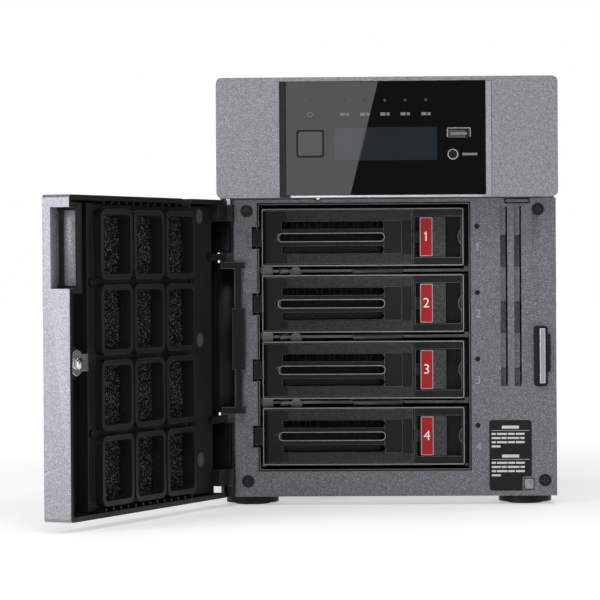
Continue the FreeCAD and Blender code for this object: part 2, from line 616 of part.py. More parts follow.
def make_buttons():
    travel_end = f"({BOARD_FACE} - 1.6 - button_travel - 0.2)"
    flange = (f"{CARRIER_BACK} + 0.1", f"{CARRIER_BACK} + 1.1")
    for label, (x, z, wide, tall, radius) in BUTTON_HOLES.items():
        button = new_body(label)
        pad(button, "XZ", f"{FRONT} - 0.2", flange[0],
            round_rectangle(f"{x} - {wide} / 2", f"{x} + {wide} / 2", f"{z} - {tall} / 2",
                            f"{z} + {tall} / 2", radius))
        pad(button, "XZ", *flange, rectangle(f"{x} - {wide} / 2 - 0.9", f"{x} + {wide} / 2 + 0.9",
                                             f"{z} - {tall} / 2 - 0.9", f"{z} + {tall} / 2 + 0.9"))
        pad(button, "XZ", flange[1], travel_end, circle(x, z, 2.4))
    centre = ("function_x", "function_z")
    shaft = (f"{FRONT} - 0.2", f"{flange[0]} + 0.2")
    keep("function_button", joined([rod("Y", centre, shaft, "function_bore - 0.2"),
                                    rod("Y", centre, flange, "function_bore + 1.6"),
                                    rod("Y", centre, (f"{flange[1]} - 0.2", travel_end), 2.4)]))


# ---- door ----

def make_door_shell():
    body = new_body("door_shell")
    turned.append(body)
    pad(body, "XZ", FRONT, HINGE_Y,
        round_rectangle("door_left", "door_right", "door_bottom", "door_top", 2))
    hinge_wall = "door_left + door_wall"
    pocket(body, "XZ", DOOR_FLOOR, HINGE_Y,
           rectangle(hinge_wall, "door_right - 2.4", "door_bottom + 2.4", "door_top - 2.4"))
    # the free edge is thick round the finger grip, with the grip scooped out of it
    pad(body, "XZ", f"{DOOR_FLOOR} - 0.5", HINGE_Y,
        rectangle("door_right - grip_depth - 4", "door_right - 2", "grip_bottom - 2.2", "grip_top + 2.2"))
    pocket(body, "XZ", f"{FRONT} + 4.2", HINGE_Y,
           round_rectangle("door_right - grip_depth", "door_right + 4", "grip_bottom", "grip_top", 3.5))
    # clearances round the hinge: lower lug, hinge guard, and both pins
    pocket(body, "XZ", f"{FRONT} + door_skin + 0.2", HINGE_Y,
           rectangle("door_left - 1", "hinge_x + 4", "door_bottom - 1", "lug_top + 0.3"))
    pocket(body, "XZ", f"{HINGE_Y} - guard_relief", HINGE_Y,
           rectangle("door_left - 1", "hinge_x + 0.5", 42, 128))
    pocket(body, "XY", "door_bottom", "door_top + 1", circle("hinge_x", HINGE_Y, "hinge_pin + 0.6"))
    pocket(body, "XZ", f"{FRONT} - 1", f"{FRONT} + 4", circle("lock_x", "lock_z", "lock_diameter + 0.1"))
    # a gap in the top wall where the ball plunger drops in, and air slots in the top and bottom walls
    pocket(body, "XZ", f"{FRONT} + 4", HINGE_Y,
           rectangle(f"{PLUNGER[0]} - 5.4", f"{PLUNGER[0]} + 5.4", "door_top - 3", "door_top + 1"))
    for low, high in (("door_bottom - 1", "door_bottom + 3"), ("door_top - 3", "door_top + 1")):
        slot = pocket(body, "XY", low, high,
                      rectangle(-22, -19.5, f"{DOOR_FLOOR} + 1", f"{HINGE_Y} - 2"))
        row_of(body, slot, "X_Axis", 80, 17)


def window_centres():
    for column in (-1, 0, 1):
        for row in (-1.5, -0.5, 0.5, 1.5):
            yield f"(grid_x + ({column}) * window_pitch_x)", f"(grid_z + ({row}) * window_pitch_z)"


def window_hole(x, z, inset, radius):
    return round_rectangle(f"{x} - window_outer_x / 2 + {inset}", f"{x} + window_outer_x / 2 - {inset}",
                           f"{z} - window_outer_z / 2 + {inset}", f"{z} + window_outer_z / 2 - {inset}",
                           radius)


def make_door_inner_frame():
    body = new_body("door_inner_frame")
    turned.append(body)
    front = f"({FRAME_BACK} - frame_plate)"
    holes = [window_hole(x, z, "window_rim", 2.4) for x, z in window_centres()]
    holes += [circle(x, z, 2.6) for x, z in DOOR_SCREWS]
    pad(body, "XZ", front, FRAME_BACK,
        rectangle("frame_left", "frame_right", "frame_bottom", "frame_top"), *holes)
    # each window stands proud of the plate on its own rim
    for x, z in window_centres():
        pad(body, "XZ", f"{FRAME_BACK} - 0.2", f"{HINGE_Y} - 1",
            window_hole(x, z, 0, "window_radius"), window_hole(x, z, "window_rim", 2.4))
    # side walls down to the painted skin, and a flat strip towards the hinge
    for left, right in (("frame_left", "frame_left + 1.4"), ("frame_right - 1.4", "frame_right")):
        pad(body, "XZ", DOOR_FLOOR, FRAME_BACK, rectangle(left, right, "frame_bottom", "frame_top"))
    # hinge eyes at the top and the bottom, with their arms
    for low, high in (("lug_top + 0.3", "lug_top + 8.4"), ("door_top - 10.6", "door_top - 2.5")):
        pad(body, "XY", low, high, circle("hinge_x", HINGE_Y, "hinge_eye"))
        pad(body, "XY", low, high,
            rectangle("hinge_x", "frame_left + 1", f"{HINGE_Y} - 3", f"{HINGE_Y} - 0.2"))
        pad(body, "XY", low, high,
            rectangle("frame_left", "frame_left + 3", f"{FRAME_BACK} - 1", f"{HINGE_Y} - 0.2"))
    pocket(body, "XY", "door_bottom - 1", "door_top + 1",
           circle("hinge_x", HINGE_Y, "hinge_pin + hinge_clear"))


def make_door_fittings():
    foam_front = f"({FRAME_BACK} - frame_plate - foam_thick)"
    foam = block(("frame_left + 1.6", "frame_right - 1.6"), (foam_front, f"{foam_front} + foam_thick"),
                 ("frame_bottom + 0.5", "frame_top - 0.5"))
    pillars = [rod("Y", (x, z), (f"{foam_front} - 1", f"{foam_front} + foam_thick + 1"), 5.4)
               for x, z in DOOR_SCREWS]
    turned.append(keep("foam_filter", carved(foam, pillars)))
    screws = [joined([rod("Y", (x, z), (f"{FRAME_BACK}", f"{FRAME_BACK} + 1.1"), 4.4),
                      rod("Y", (x, z), (DOOR_FLOOR, f"{FRAME_BACK} + 0.1"), 2.4)]) for x, z in DOOR_SCREWS]
    turned.append(keep("door_screws", group(screws)))

    centre = ("lock_x", "lock_z")
    housing = carved(joined([rod("Y", centre, (DOOR_FLOOR, f"{HINGE_Y} - 4"), "lock_diameter + 4.6"),
                             block(("lock_x - 7.3", "lock_x + 7.3"), (DOOR_FLOOR, f"{DOOR_FLOOR} + 2"),
                                   ("lock_z - 11", "lock_z + 11"))]),
                     [rod("Y", centre, (f"{DOOR_FLOOR} - 1", HINGE_Y), "lock_diameter + 0.1")])
    turned.append(keep("lock_housing", housing))
    barrel = joined([rod("Y", centre, (f"{FRONT} - 0.2", f"{HINGE_Y} - 3"), "lock_diameter"),
                     rod("Y", centre, (f"{HINGE_Y} - 3.2", f"{HINGE_Y} - 1.8"), 5)])
    key_slot = block(("lock_x - 0.6", "lock_x + 0.6"), (f"{FRONT} - 1", f"{FRONT} + 6"),
                     ("lock_z - 3", "lock_z + 3"))
    turned.append(keep("lock_barrel", carved(barrel, [key_slot])))
    cam = carved(joined([rod("Y", centre, (f"{HINGE_Y} - 3", f"{HINGE_Y} - 1.8"), "lock_diameter + 2"),
                         block(("lock_x - 10.5", "lock_x"), (f"{HINGE_Y} - 3", f"{HINGE_Y} - 1.8"),
                               ("lock_z - 4", "lock_z + 4"))]),
                 [rod("Y", centre, (f"{HINGE_Y} - 4", f"{HINGE_Y} + 1"), 5)])
    turned.append(keep("lock_cam", cam))


DOOR_SCREWS = [("grid_x + 1.55 * window_pitch_x", "grid_z + window_pitch_z"),
               ("grid_x - 1.55 * window_pitch_x", "grid_z + window_pitch_z"),
               ("grid_x - 1.55 * window_pitch_x", "grid_z - window_pitch_z"),
               ("grid_x + 1.55 * window_pitch_x", "grid_z - window_pitch_z")]
turned = []


def open_door():
    """Turns the door's own pieces from closed to open about the hinge."""
    hinge = Vector(measure("hinge_x"), measure(HINGE_Y), 0)
    swing = Placement(Vector(), Rotation(Vector(0, 0, 1), -measure("door_open_angle")), hinge)
    for thing in turned:
        thing.Placement = swing.multiply(thing.Placement)


# ---- drive trays ----

def make_tray(bay):
    c = tray_centre(bay)
    low, high = f"({c} - tray_half)", f"({c} + tray_half)"
    floor_top, strap_low = f"({low} + sled_steel)", f"({high} - sled_steel)"
    strap = ("sled_front", "sled_front + 5")
    rail_low = (floor_top, f"{c} + 5")
    pieces = [
        block(("sled_left", "sled_right"), ("sled_front", "sled_rear"), (low, floor_top)),
        block(("face_left", "face_right"), (FACE_FRONT, "sled_front + 1"), (low, floor_top)),
        block(("sled_left", "sled_left + sled_steel"), ("sled_front", "sled_rear"), rail_low),
        block(("sled_right - sled_steel", "sled_right"), ("sled_front", "sled_rear"), rail_low),
        block(("sled_left", "sled_left + sled_steel"), strap, (floor_top, high)),
        block(("sled_right - sled_steel", "sled_right"), strap, (floor_top, high)),
        block(("sled_left", "sled_right"), ("sled_front", "sled_front + 1.8"), (strap_low, high)),
        block(("face_left", "face_right"), (FACE_FRONT, "sled_front + 1"), (strap_low, high)),
        rod("Z", ("pivot_x", PIVOT_Y), (low, high), "pivot_pin")]
    tray = keep(f"tray_{bay + 1}", joined(pieces))

    box = block(("handle_right + 0.7", "face_right"), (FACE_FRONT, f"{PANEL} + 9"), (floor_top, strap_low))
    well = block(("handle_right + 1.6", "face_right - 1.2"), (f"{FACE_FRONT} - 1", f"{PANEL} + 7"),
                 spread(c, "(latch_half + latch_play)"))
    window = block(("handle_right", "handle_right + 2"), (f"{PANEL} + 2.8", f"{PANEL} + 5.4"),
                   spread(c, 3.3))
    tray.Shapes = pieces + [carved(box, [well, window])]

    plate = block(("pivot_x", "handle_right"), (FACE_FRONT, f"{FACE_FRONT} + handle_thick"),
                  spread(c, "handle_half"))
    knuckle = rod("Z", ("pivot_x", PIVOT_Y), spread(c, "handle_half"), "knuckle")
    tongue = block(("tongue_left", "pivot_x"), spread(PIVOT_Y, "tongue_thick / 2"), spread(c, "tongue_half"))
    through = (f"{FACE_FRONT} - 1", f"{FACE_FRONT} + handle_thick + 3")
    half = "slot_height / 2"
    dish = (f"{FACE_FRONT} - 1", f"{FACE_FRONT} + grille_depth")
    slots = [block(("slot_right - 0.1", "grille_right"), dish, spread(c, "grille_half"))]
    rows = (("slot_pitch", "grille_left"), ("0", "slot_left"), ("(0 - slot_pitch)", "grille_left"))
    for rise, left_end in rows:
        middle = f"({c} + {rise})"
        slots.append(block((left_end, f"slot_right - {half}"), through, spread(middle, half)))
        slots.append(rod("Y", (f"slot_right - {half}", middle), through, "slot_height"))
    slots.append(rod("Y", ("slot_left", c), through, "slot_height"))
    bore = rod("Z", ("pivot_x", PIVOT_Y), (low, high), "pivot_pin + pivot_clear")
    keep(f"handle_{bay + 1}", carved(joined([plate, knuckle, tongue]), slots + [bore]))

    slider = block(("latch_left", "latch_right"), (f"{FACE_FRONT} + 0.4", f"{PANEL} + 6.5"),
                   spread(c, "latch_half"))
    hook = block(("handle_right - 2", "latch_left + 1"), (f"{PANEL} + 3.4", f"{PANEL} + 5"), spread(c, 3))
    keep(f"latch_{bay + 1}", joined([slider, hook]))

    left = "((sled_left + sled_right - drive_width) / 2)"
    rear = "drive_front + drive_length"
    body = block((left, f"{left} + drive_width"), ("drive_front", rear),
                 (floor_top, f"{floor_top} + drive_height - 2"))
    lid = block((f"{left} + 3", f"{left} + drive_width - 3"), ("drive_front + 3", f"{rear} - 8"),
                (f"{floor_top} + drive_height - 2.2", f"{floor_top} + drive_height"))
    relief = block((f"{left} + 60", f"{left} + 95"), (f"{rear} - 6", f"{rear} + 1"),
                   (f"{floor_top} + 3", f"{floor_top} + 9"))
    keep(f"drive_{bay + 1}", carved(joined([body, lid]), [relief]))


# ---- insides and rear ----

def make_backplane():
    face = "cage_rear"
    board = block(("cage_left + cage_steel", "cage_right - cage_steel"), (face, f"{face} + board_thick"),
                  ("cage_bottom + 1", "cage_top - 1"))
    vents, plugs = [], []
    for bay in range(4):
        c = tray_centre(bay)
        plug_depth = ("drive_front + drive_length + 0.3", f"{face} + 0.5")
        plugs.append(block((2, 36), plug_depth, (f"{c} - 9.5", f"{c} - 5")))
        for left in (-58, -36, -14):
            vents.append(block((left, left + 18), (f"{face} - 1", f"{face} + 3"), (f"{c} - 6", f"{c} + 6")))
    keep("backplane", joined([carved(board, vents)] + plugs))


def make_main_board():
    face = "(board_left + board_thick)"
    pieces = [block(("board_left", face), ("board_front", 112), ("board_bottom", "board_top")),
              block((f"{face} - 0.5", f"{face} + 2.4"), (-18, 18), (80, 116)),
              block((f"{face} - 0.5", f"{face} + 5"), (-20, 52), (56, 62))]
    for y in (-60, 60):
        for z in (28, 142):
            pieces.append(rod("X", (y, z), ("cage_right", "board_left + 0.5"), 5))
    for y in (60, 68, 76):
        pieces.append(rod("X", (y, 138), (f"{face} - 0.5", f"{face} + 12"), 6.3))
    keep("main_board", joined(pieces))

    base = f"({face} + 2.4)"
    fins = [block((base, f"{base} + 3"), (-24, 24), (74, 122))]
    for n in range(11):
        low = 74 + 4.7 * n
        fins.append(block((f"{base} + 2", f"{base} + 24"), (-24, 24), (round(low, 1), round(low + 1, 1))))
    keep("processor_heatsink", joined(fins))

    module = [block((f"{face} + 2", f"{face} + 3.2"), (-17, 50), (33, 56))]
    for n in range(4):
        module.append(block((f"{face} + 3", f"{face} + 4.4"), (-13 + 16 * n, -2 + 16 * n), (38, 50)))
    keep("memory_module", joined(module))


def make_ports():
    face = "(board_left + board_thick)"
    lan = []
    for z, high in LAN_ROWS:
        shell = block((face, f"{face} + 16"), (93, "rear_plate + steel + 0.8"), spread(z, f"{high} / 2"))
        cavity = block((f"{face} + 2", f"{face} + 14"), (100, 116), (f"{z} - 3.6", f"{z} + 4"))
        notch = block((f"{face} + 5", f"{face} + 11"), (100, 116), (f"{z} - 5.4", f"{z} - 3.5"))
        lan.append(carved(shell, [cavity, notch]))
    keep("network_sockets", group(lan))
    usb = []
    for z, high in USB_ROWS:
        shell = block((face, f"{face} + 14.2"), (96, "rear_plate + steel + 0.8"), spread(z, f"{high} / 2"))
        cavity = block((f"{face} + 0.8", f"{face} + 13.4"), (101, 116), (f"{z} - 2.5", f"{z} + 2.5"))
        blade = block((f"{face} + 1.6", f"{face} + 12.6"), (100, 113), (f"{z} + 0.2", f"{z} + 2"))
        usb.append(joined([carved(shell, [cavity]), blade]))
    keep("usb_sockets", group(usb))


def make_power():
    low, high = "cage_top", "(cage_top + supply_height)"
    case = block(("supply_left", "supply_right"), ("rear_plate - supply_length", "rear_plate"), (low, high))
    bay = block(("inlet_left", "inlet_left + inlet_width"), ("rear_plate - 22", "rear_plate + 1"),
                ("inlet_bottom", "inlet_bottom + inlet_height"))
    vents = []
    for n in range(7):
        z = round(162 + 4.2 * n, 1)
        vents.append(block((-70, -36), ("rear_plate - 3", "rear_plate + 1"), (z, round(z + 2.2, 1))))
    keep("power_supply", carved(case, [bay] + vents))
    x, z = "(inlet_left + inlet_width / 2)", "(inlet_bottom + inlet_height / 2)"
    housing = block(spread(x, "(inlet_width / 2 - 0.1)"), ("rear_plate - 21.9", "rear_plate + 1.6"),
                    spread(z, "(inlet_height / 2 - 0.1)"))
    well = block(spread(x, 11.5), ("rear_plate - 15", "rear_plate + 3"), spread(z, 7.8))
    blades = [block(spread(f"{x} + ({dx})", 1), ("rear_plate - 16", "rear_plate - 1"), spread(f"{z} + ({dz})", 2))
              for dx, dz in ((-7, 1.4), (7, 1.4), (0, 4.6))]
    keep("power_inlet", joined([carved(housing, [well])] + blades))


def make_fan():
    rear = "rear_plate"
    front = f"({rear} - fan_thick)"
    half = "fan_side / 2"
    centre = ("fan_x", "fan_z")
    case = block(spread("fan_x", half), (front, rear), spread("fan_z", half))
    tools = [rod("Y", centre, (f"{front} - 1", f"{rear} + 1"), "fan_bore")]
    for sx in (-1, 1):
        for sz in (-1, 1):
            corner = (f"fan_x + ({sx}) * fan_hole_pitch / 2", f"fan_z + ({sz}) * fan_hole_pitch / 2")
            tools.append(rod("Y", corner, (f"{front} - 1", f"{rear} + 1"), "fan_hole"))
    arms = [block(spread("fan_x", f"({half} - 1)"), (f"{rear} - 3.5", rear), spread("fan_z", 2)),
            block(spread("fan_x", 2), (f"{rear} - 3.5", rear), spread("fan_z", f"({half} - 1)")),
            rod("Y", centre, (f"{rear} - 4.5", rear), "fan_hub"),
            rod("Y", centre, (f"{rear} - 16", f"{rear} - 4"), 8)]
    bearing = rod("Y", centre, (f"{rear} - 17", f"{rear} - 2"), "fan_shaft + 0.1")
    keep("fan_frame", carved(joined([carved(case, tools)] + arms), [bearing]))

    cup = carved(rod("Y", centre, (f"{front} + 1", f"{rear} - 5.2"), "fan_hub"),
                 [rod("Y", centre, (f"{front} + 3", f"{rear} - 5"), "fan_hub - 3")])
    shaft = rod("Y", centre, (f"{front} + 2", f"{rear} - 3"), "fan_shaft")
    blades = Part.makeCompound([fan_blade(n) for n in range(7)])
    blade_set = doc.addObject("Part::Feature", "Blades")
    blade_set.Shape = blades
    keep("fan_rotor", joined([cup, shaft, blade_set]))


def fan_blade(n):
    """One twisted blade, lofted from its root at the hub to its tip."""
    rear = measure("rear_plate")
    root, tip = measure("fan_hub") / 2 - 0.8, measure("fan_blade_tip") / 2
    middle = rear - measure("fan_thick") / 2 - 1
    sections = []
    for radius, pitch_angle, chord in ((root, 50, 15), ((root + tip) / 2, 40, 21), (tip, 30, 25)):
        turn = Rotation(Vector(0, 0, 1), pitch_angle)
        corners = []
        for sx, sy in ((-1, -1), (1, -1), (1, 1), (-1, 1)):
            corner = turn.multVec(Vector(sx * chord / 2, sy * 0.7, 0))
            corners.append(Vector(corner.x, corner.y, radius))
        sections.append(Part.makePolygon(corners + corners[:1]))
    blade = Part.makeLoft(sections, True, False)
    blade.rotate(Vector(), Vector(0, 1, 0), 360 / 7 * n)
    blade.translate(Vector(measure("fan_x"), middle, measure("fan_z")))
    return blade


def make_fan_guard():
    wire_rows = []
    y = "(rear_plate + steel + guard_wire / 2)"
    for diameter in (84, 66, 48, 30):
        ring = doc.addObject("Part::Torus", "Ring")
        ring.Placement = Placement(Vector(), TURN["Y"])
        bind(ring, "Radius1", f"{diameter} / 2")
        bind(ring, "Radius2", "guard_wire / 2")
        for axis, text in (("x", "fan_x"), ("y", y), ("z", "fan_z")):
            bind(ring, f".Placement.Base.{axis}", text)
        wire_rows.append(ring)
    bars = [rod("X", (y, "fan_z"), ("fan_x - 43", "fan_x + 43"), "guard_wire"),
            rod("Z", ("fan_x", y), ("fan_z - 43", "fan_z + 43"), "guard_wire")]
    keep("fan_guard", joined(wire_rows + bars))


def make_rear_screws():
    face = "(rear_plate + steel + screw_head_thick)"
    screws = []
    for sx in (-1, 1):
        for sz in (-1, 1):
            x = f"(fan_x + ({sx}) * fan_hole_pitch / 2)"
            z = f"(fan_z + ({sz}) * fan_hole_pitch / 2)"
            screws.append(cross_screw("Y", x, face, z, 1, 9))
    keep("rear_screws", group(screws))


# ---- build, check and write ----

def build():
    make_base_pan()
    make_case_cover()
    make_rear_panel()
    make_drive_cage()
    make_bay_liner()
    make_front_panel()
    make_panel_screws()
    make_striker()
    make_hinge_hardware()
    make_feet()
    make_hood_shell()
    make_ball_plunger()
    make_window_parts()
    make_display()
    make_buttons()
    make_door_shell()
    make_door_inner_frame()
    make_door_fittings()
    for bay in range(4):
        make_tray(bay)
    make_backplane()
    make_main_board()
    make_ports()
    make_power()
    make_fan()
    make_fan_guard()
    make_rear_screws()
    doc.recompute()
    open_door()
    doc.recompute()


def check():
    for thing in doc.Objects:
        if {"Invalid", "Error"} & set(thing.State):
            raise RuntimeError(f"{thing.Label} ({thing.Name}) did not build: {thing.State}")
        if thing.TypeId == "PartDesign::Pocket":
            before = thing.BaseFeature.Shape.Volume
            if before - thing.Shape.Volume < 0.01:
                raise RuntimeError(f"{thing.Name} in {thing.getParent().Label} cuts nothing")
    for thing in sub_parts:
        if thing.Shape.isNull() or not thing.Shape.isValid():
            raise RuntimeError(f"{thing.Label} has no sound shape")


def write():
    os.makedirs("parts", exist_ok=True)
    for thing in sub_parts:
        thing.Shape.exportStep(f"parts/{thing.Label}.step")
        box = thing.Shape.BoundBox
        print(f"{thing.Label}: {len(thing.Shape.Solids)} solid(s), {thing.Shape.Volume:.0f} mm3, "
              f"x {box.XMin:.1f} {box.XMax:.1f}, y {box.YMin:.1f} {box.YMax:.1f}, "
              f"z {box.ZMin:.1f} {box.ZMax:.1f}")
    print(len(sub_parts), "sub-parts")


build()
check()
write()
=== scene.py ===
import json
import math
import bpy
from mathutils import Vector, Matrix, Euler


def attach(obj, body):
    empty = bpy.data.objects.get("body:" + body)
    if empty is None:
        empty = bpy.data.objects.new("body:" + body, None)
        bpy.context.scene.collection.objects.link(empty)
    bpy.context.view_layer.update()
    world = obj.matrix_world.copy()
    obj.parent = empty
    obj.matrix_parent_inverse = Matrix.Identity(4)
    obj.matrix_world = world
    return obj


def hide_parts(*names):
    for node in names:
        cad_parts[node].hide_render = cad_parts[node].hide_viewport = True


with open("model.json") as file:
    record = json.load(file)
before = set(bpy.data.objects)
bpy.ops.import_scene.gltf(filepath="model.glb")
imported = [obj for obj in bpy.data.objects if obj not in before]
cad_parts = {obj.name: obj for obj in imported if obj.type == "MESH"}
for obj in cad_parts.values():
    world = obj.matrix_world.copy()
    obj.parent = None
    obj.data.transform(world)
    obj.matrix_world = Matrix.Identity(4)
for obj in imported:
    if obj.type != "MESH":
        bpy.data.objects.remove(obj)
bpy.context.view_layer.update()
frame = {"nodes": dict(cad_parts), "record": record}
nodes = frame["nodes"]
mm = 0.001
print("frame loaded:", len(nodes), "nodes")


cameraLook = {"place": (-0.0017, -1.6185, 0.1220), "turnLeft": 1.597,
              "lookDown": 0.68, "roll": 0.366, "lens": 181.2}


def placeCamera():
    yaw, down, roll = (math.radians(cameraLook[k]) for k in ("turnLeft", "lookDown", "roll"))
    forward = Vector((-math.sin(yaw) * math.cos(down), math.cos(yaw) * math.cos(down), -math.sin(down)))
    right = Vector((math.cos(yaw), math.sin(yaw), 0))
    up = right.cross(forward)
    tiltedRight = math.cos(roll) * right - math.sin(roll) * up
    tiltedUp = math.cos(roll) * up + math.sin(roll) * right
    bpy.ops.object.camera_add(location=cameraLook["place"])
    camera = bpy.context.object
    camera.rotation_euler = Matrix((tiltedRight, tiltedUp, -forward)).transposed().to_euler()
    camera.data.lens = cameraLook["lens"]
    camera.data.clip_end = 20
    bpy.context.scene.camera = camera


lightRig = {
    "left": {"place": (-1.75, -1.7, 0.75), "aim": (-0.1, -0.1, 0.1), "size": (1.1, 1.6), "power": 30},
    "front": {"place": (0.4, -2.0, 2.1), "aim": (0, 0, 0.12), "size": (1.5, 0.8), "power": 24},
    "right": {"place": (1.9, -0.9, 0.8), "aim": (0.05, 0, 0.1), "size": (0.8, 1.4), "power": 9},
    "top": {"place": (0, 0.3, 1.7), "aim": (0, 0, 0.1), "size": (1.4, 1.2), "power": 10},
}
cardLook = {"place": (-0.168, -1.9, 0.295), "lean": 13.9, "size": (0.3, 0.34), "power": 0.68}
worldLook = {"seen": 1.0, "lighting": 0.1}


def placeLights():
    for name, row in lightRig.items():
        deselectAll()
        bpy.ops.object.light_add(type="AREA", location=row["place"])
        light = bpy.context.object
        light.name = "light_" + name
        light.data.shape = "RECTANGLE"
        light.data.size, light.data.size_y = row["size"]
        light.data.energy = row["power"]
        light.rotation_euler = (Vector(row["aim"]) - light.location).to_track_quat("-Z", "Y").to_euler()
    bpy.ops.object.light_add(type="AREA", location=cardLook["place"])
    card = bpy.context.object
    card.name = "light_card"
    card.data.shape = "RECTANGLE"
    card.data.size, card.data.size_y = cardLook["size"]
    card.data.energy = cardLook["power"]
    # leans as the edge of its reflection does
    card.rotation_euler = Euler((math.radians(90), math.radians(cardLook["lean"]), 0))
    card.visible_diffuse = False
    world = bpy.data.worlds.new("studio")
    bpy.context.scene.world = world
    world.use_nodes = True
    tree = world.node_tree
    background = tree.nodes["Background"]
    background.inputs["Color"].default_value = (1, 1, 1, 1)
    path = addNode(tree, "ShaderNodeLightPath")
    strength = rangeNode(tree, path.outputs["Is Camera Ray"], 0, 1, worldLook["lighting"],
                         worldLook["seen"])
    tree.links.new(strength, background.inputs["Strength"])
    bpy.context.scene.view_settings.view_transform = "Standard"


def placeFloor():
    deselectAll()
    bpy.ops.mesh.primitive_plane_add(size=14, location=(0, 0, 0))
    floor = bpy.context.object
    floor.name = "floor"
    floor.data.materials.append(materials["floorPale"])


def makeFloorLook():
    material, tree, shader, where = blankMaterial("floorPale")
    shader.inputs["Base Color"].default_value = (0.82, 0.82, 0.82, 1)
    shader.inputs["Roughness"].default_value = 0.6
    away = addNode(tree, "ShaderNodeVectorMath", operation="LENGTH")
    tree.links.new(where, away.inputs[0])
    glow = rangeNode(tree, away.outputs["Value"], 0.2, 1.6, 0.42, 1.0)
    tree.links.new(mixColours(tree, glow, (0, 0, 0, 1), (1, 1, 1, 1)), shader.inputs["Emission Color"])
    shader.inputs["Emission Strength"].default_value = 1


def newGroup(name, inputs, outputs):
    tree = bpy.data.node_groups.new(name, "ShaderNodeTree")
    for label, kind, value in inputs:
        socket = tree.interface.new_socket(label, in_out="INPUT", socket_type=kind)
        if value is not None:
            socket.default_value = value
    for label, kind in outputs:
        tree.interface.new_socket(label, in_out="OUTPUT", socket_type=kind)
    return tree, tree.nodes.new("NodeGroupInput"), tree.nodes.new("NodeGroupOutput")


def addNode(tree, kind, **settings):
    node = tree.nodes.new(kind)
    for key, value in settings.items():
        setattr(node, key, value)
    return node


def mixColours(tree, factor, first, second):
    node = addNode(tree, "ShaderNodeMix", data_type="RGBA")
    for socket, source in ((node.inputs[0], factor), (node.inputs[6], first), (node.inputs[7], second)):
        if isinstance(source, (int, float, tuple)):
            socket.default_value = source
        else:
            tree.links.new(source, socket)
    return node.outputs[2]


def rangeNode(tree, source, fromLow, fromHigh, toLow, toHigh):
    node = addNode(tree, "ShaderNodeMapRange", clamp=True)
    tree.links.new(source, node.inputs["Value"])
    for label, value in (("From Min", fromLow), ("From Max", fromHigh), ("To Min", toLow),
                         ("To Max", toHigh)):
        node.inputs[label].default_value = value
    return node.outputs["Result"]


# metal flakes in paint: a mask of bright ones, a shade for each and a height
def makeFlakeGroup():
    tree, inside, outside = newGroup(
        "metalFlakes", [("Vector", "NodeSocketVector", None), ("Scale", "NodeSocketFloat", 4200.0)],
        [("Flakes", "NodeSocketFloat"), ("Shade", "NodeSocketFloat"), ("Height", "NodeSocketFloat")])
    cells = addNode(tree, "ShaderNodeTexVoronoi", feature="F1")
    tree.links.new(inside.outputs["Vector"], cells.inputs["Vector"])
    tree.links.new(inside.outputs["Scale"], cells.inputs["Scale"])
    split = addNode(tree, "ShaderNodeSeparateColor")
    tree.links.new(cells.outputs["Color"], split.inputs[0])
    tree.links.new(rangeNode(tree, split.outputs[0], 0.86, 1.0, 0.0, 1.0), outside.inputs["Flakes"])
    tree.links.new(split.outputs[1], outside.inputs["Shade"])
    wave = addNode(tree, "ShaderNodeTexNoise")
    wave.inputs["Scale"].default_value = 900
    wave.inputs["Detail"].default_value = 3
    tree.links.new(inside.outputs["Vector"], wave.inputs["Vector"])
    tree.links.new(wave.outputs["Fac"], outside.inputs["Height"])
    return tree


# moulded grain: small pits over a slow unevenness
def makeGrainGroup():
    tree, inside, outside = newGroup(
        "mouldedGrain", [("Vector", "NodeSocketVector", None), ("Scale", "NodeSocketFloat", 1500.0)],
        [("Height", "NodeSocketFloat"), ("Tone", "NodeSocketFloat"), ("Slow", "NodeSocketFloat")])
    fine = addNode(tree, "ShaderNodeTexNoise")
    fine.inputs["Detail"].default_value = 2
    tree.links.new(inside.outputs["Vector"], fine.inputs["Vector"])
    tree.links.new(inside.outputs["Scale"], fine.inputs["Scale"])
    slow = addNode(tree, "ShaderNodeTexNoise")
    slow.inputs["Scale"].default_value = 38
    slow.inputs["Detail"].default_value = 4
    tree.links.new(inside.outputs["Vector"], slow.inputs["Vector"])
    tree.links.new(rangeNode(tree, fine.outputs["Fac"], 0.35, 0.65, 0.0, 1.0), outside.inputs["Height"])
    tree.links.new(rangeNode(tree, fine.outputs["Fac"], 0.3, 0.7, 0.0, 1.0), outside.inputs["Tone"])
    tree.links.new(slow.outputs["Fac"], outside.inputs["Slow"])
    return tree


# fine parallel scratches along one axis
def makeBrushedGroup():
    tree, inside, outside = newGroup(
        "brushedLines", [("Vector", "NodeSocketVector", None), ("Stretch", "NodeSocketVector", (1, 1, 1))],
        [("Lines", "NodeSocketFloat"), ("Stain", "NodeSocketFloat")])
    scaled = addNode(tree, "ShaderNodeVectorMath", operation="MULTIPLY")
    tree.links.new(inside.outputs["Vector"], scaled.inputs[0])
    tree.links.new(inside.outputs["Stretch"], scaled.inputs[1])
    lines = addNode(tree, "ShaderNodeTexNoise")
    lines.inputs["Scale"].default_value = 1
    lines.inputs["Detail"].default_value = 4
    tree.links.new(scaled.outputs[0], lines.inputs["Vector"])
    stain = addNode(tree, "ShaderNodeTexNoise")
    stain.inputs["Scale"].default_value = 60
    stain.inputs["Detail"].default_value = 5
    tree.links.new(inside.outputs["Vector"], stain.inputs["Vector"])
    tree.links.new(lines.outputs["Fac"], outside.inputs["Lines"])
    tree.links.new(stain.outputs["Fac"], outside.inputs["Stain"])
    return tree


materials = {}


def blankMaterial(name):
    material = bpy.data.materials.new(name)
    material.use_nodes = True
    tree = material.node_tree
    shader = tree.nodes["Principled BSDF"]
    where = addNode(tree, "ShaderNodeTexCoord")
    materials[name] = material
    return material, tree, shader, where.outputs["Object"]


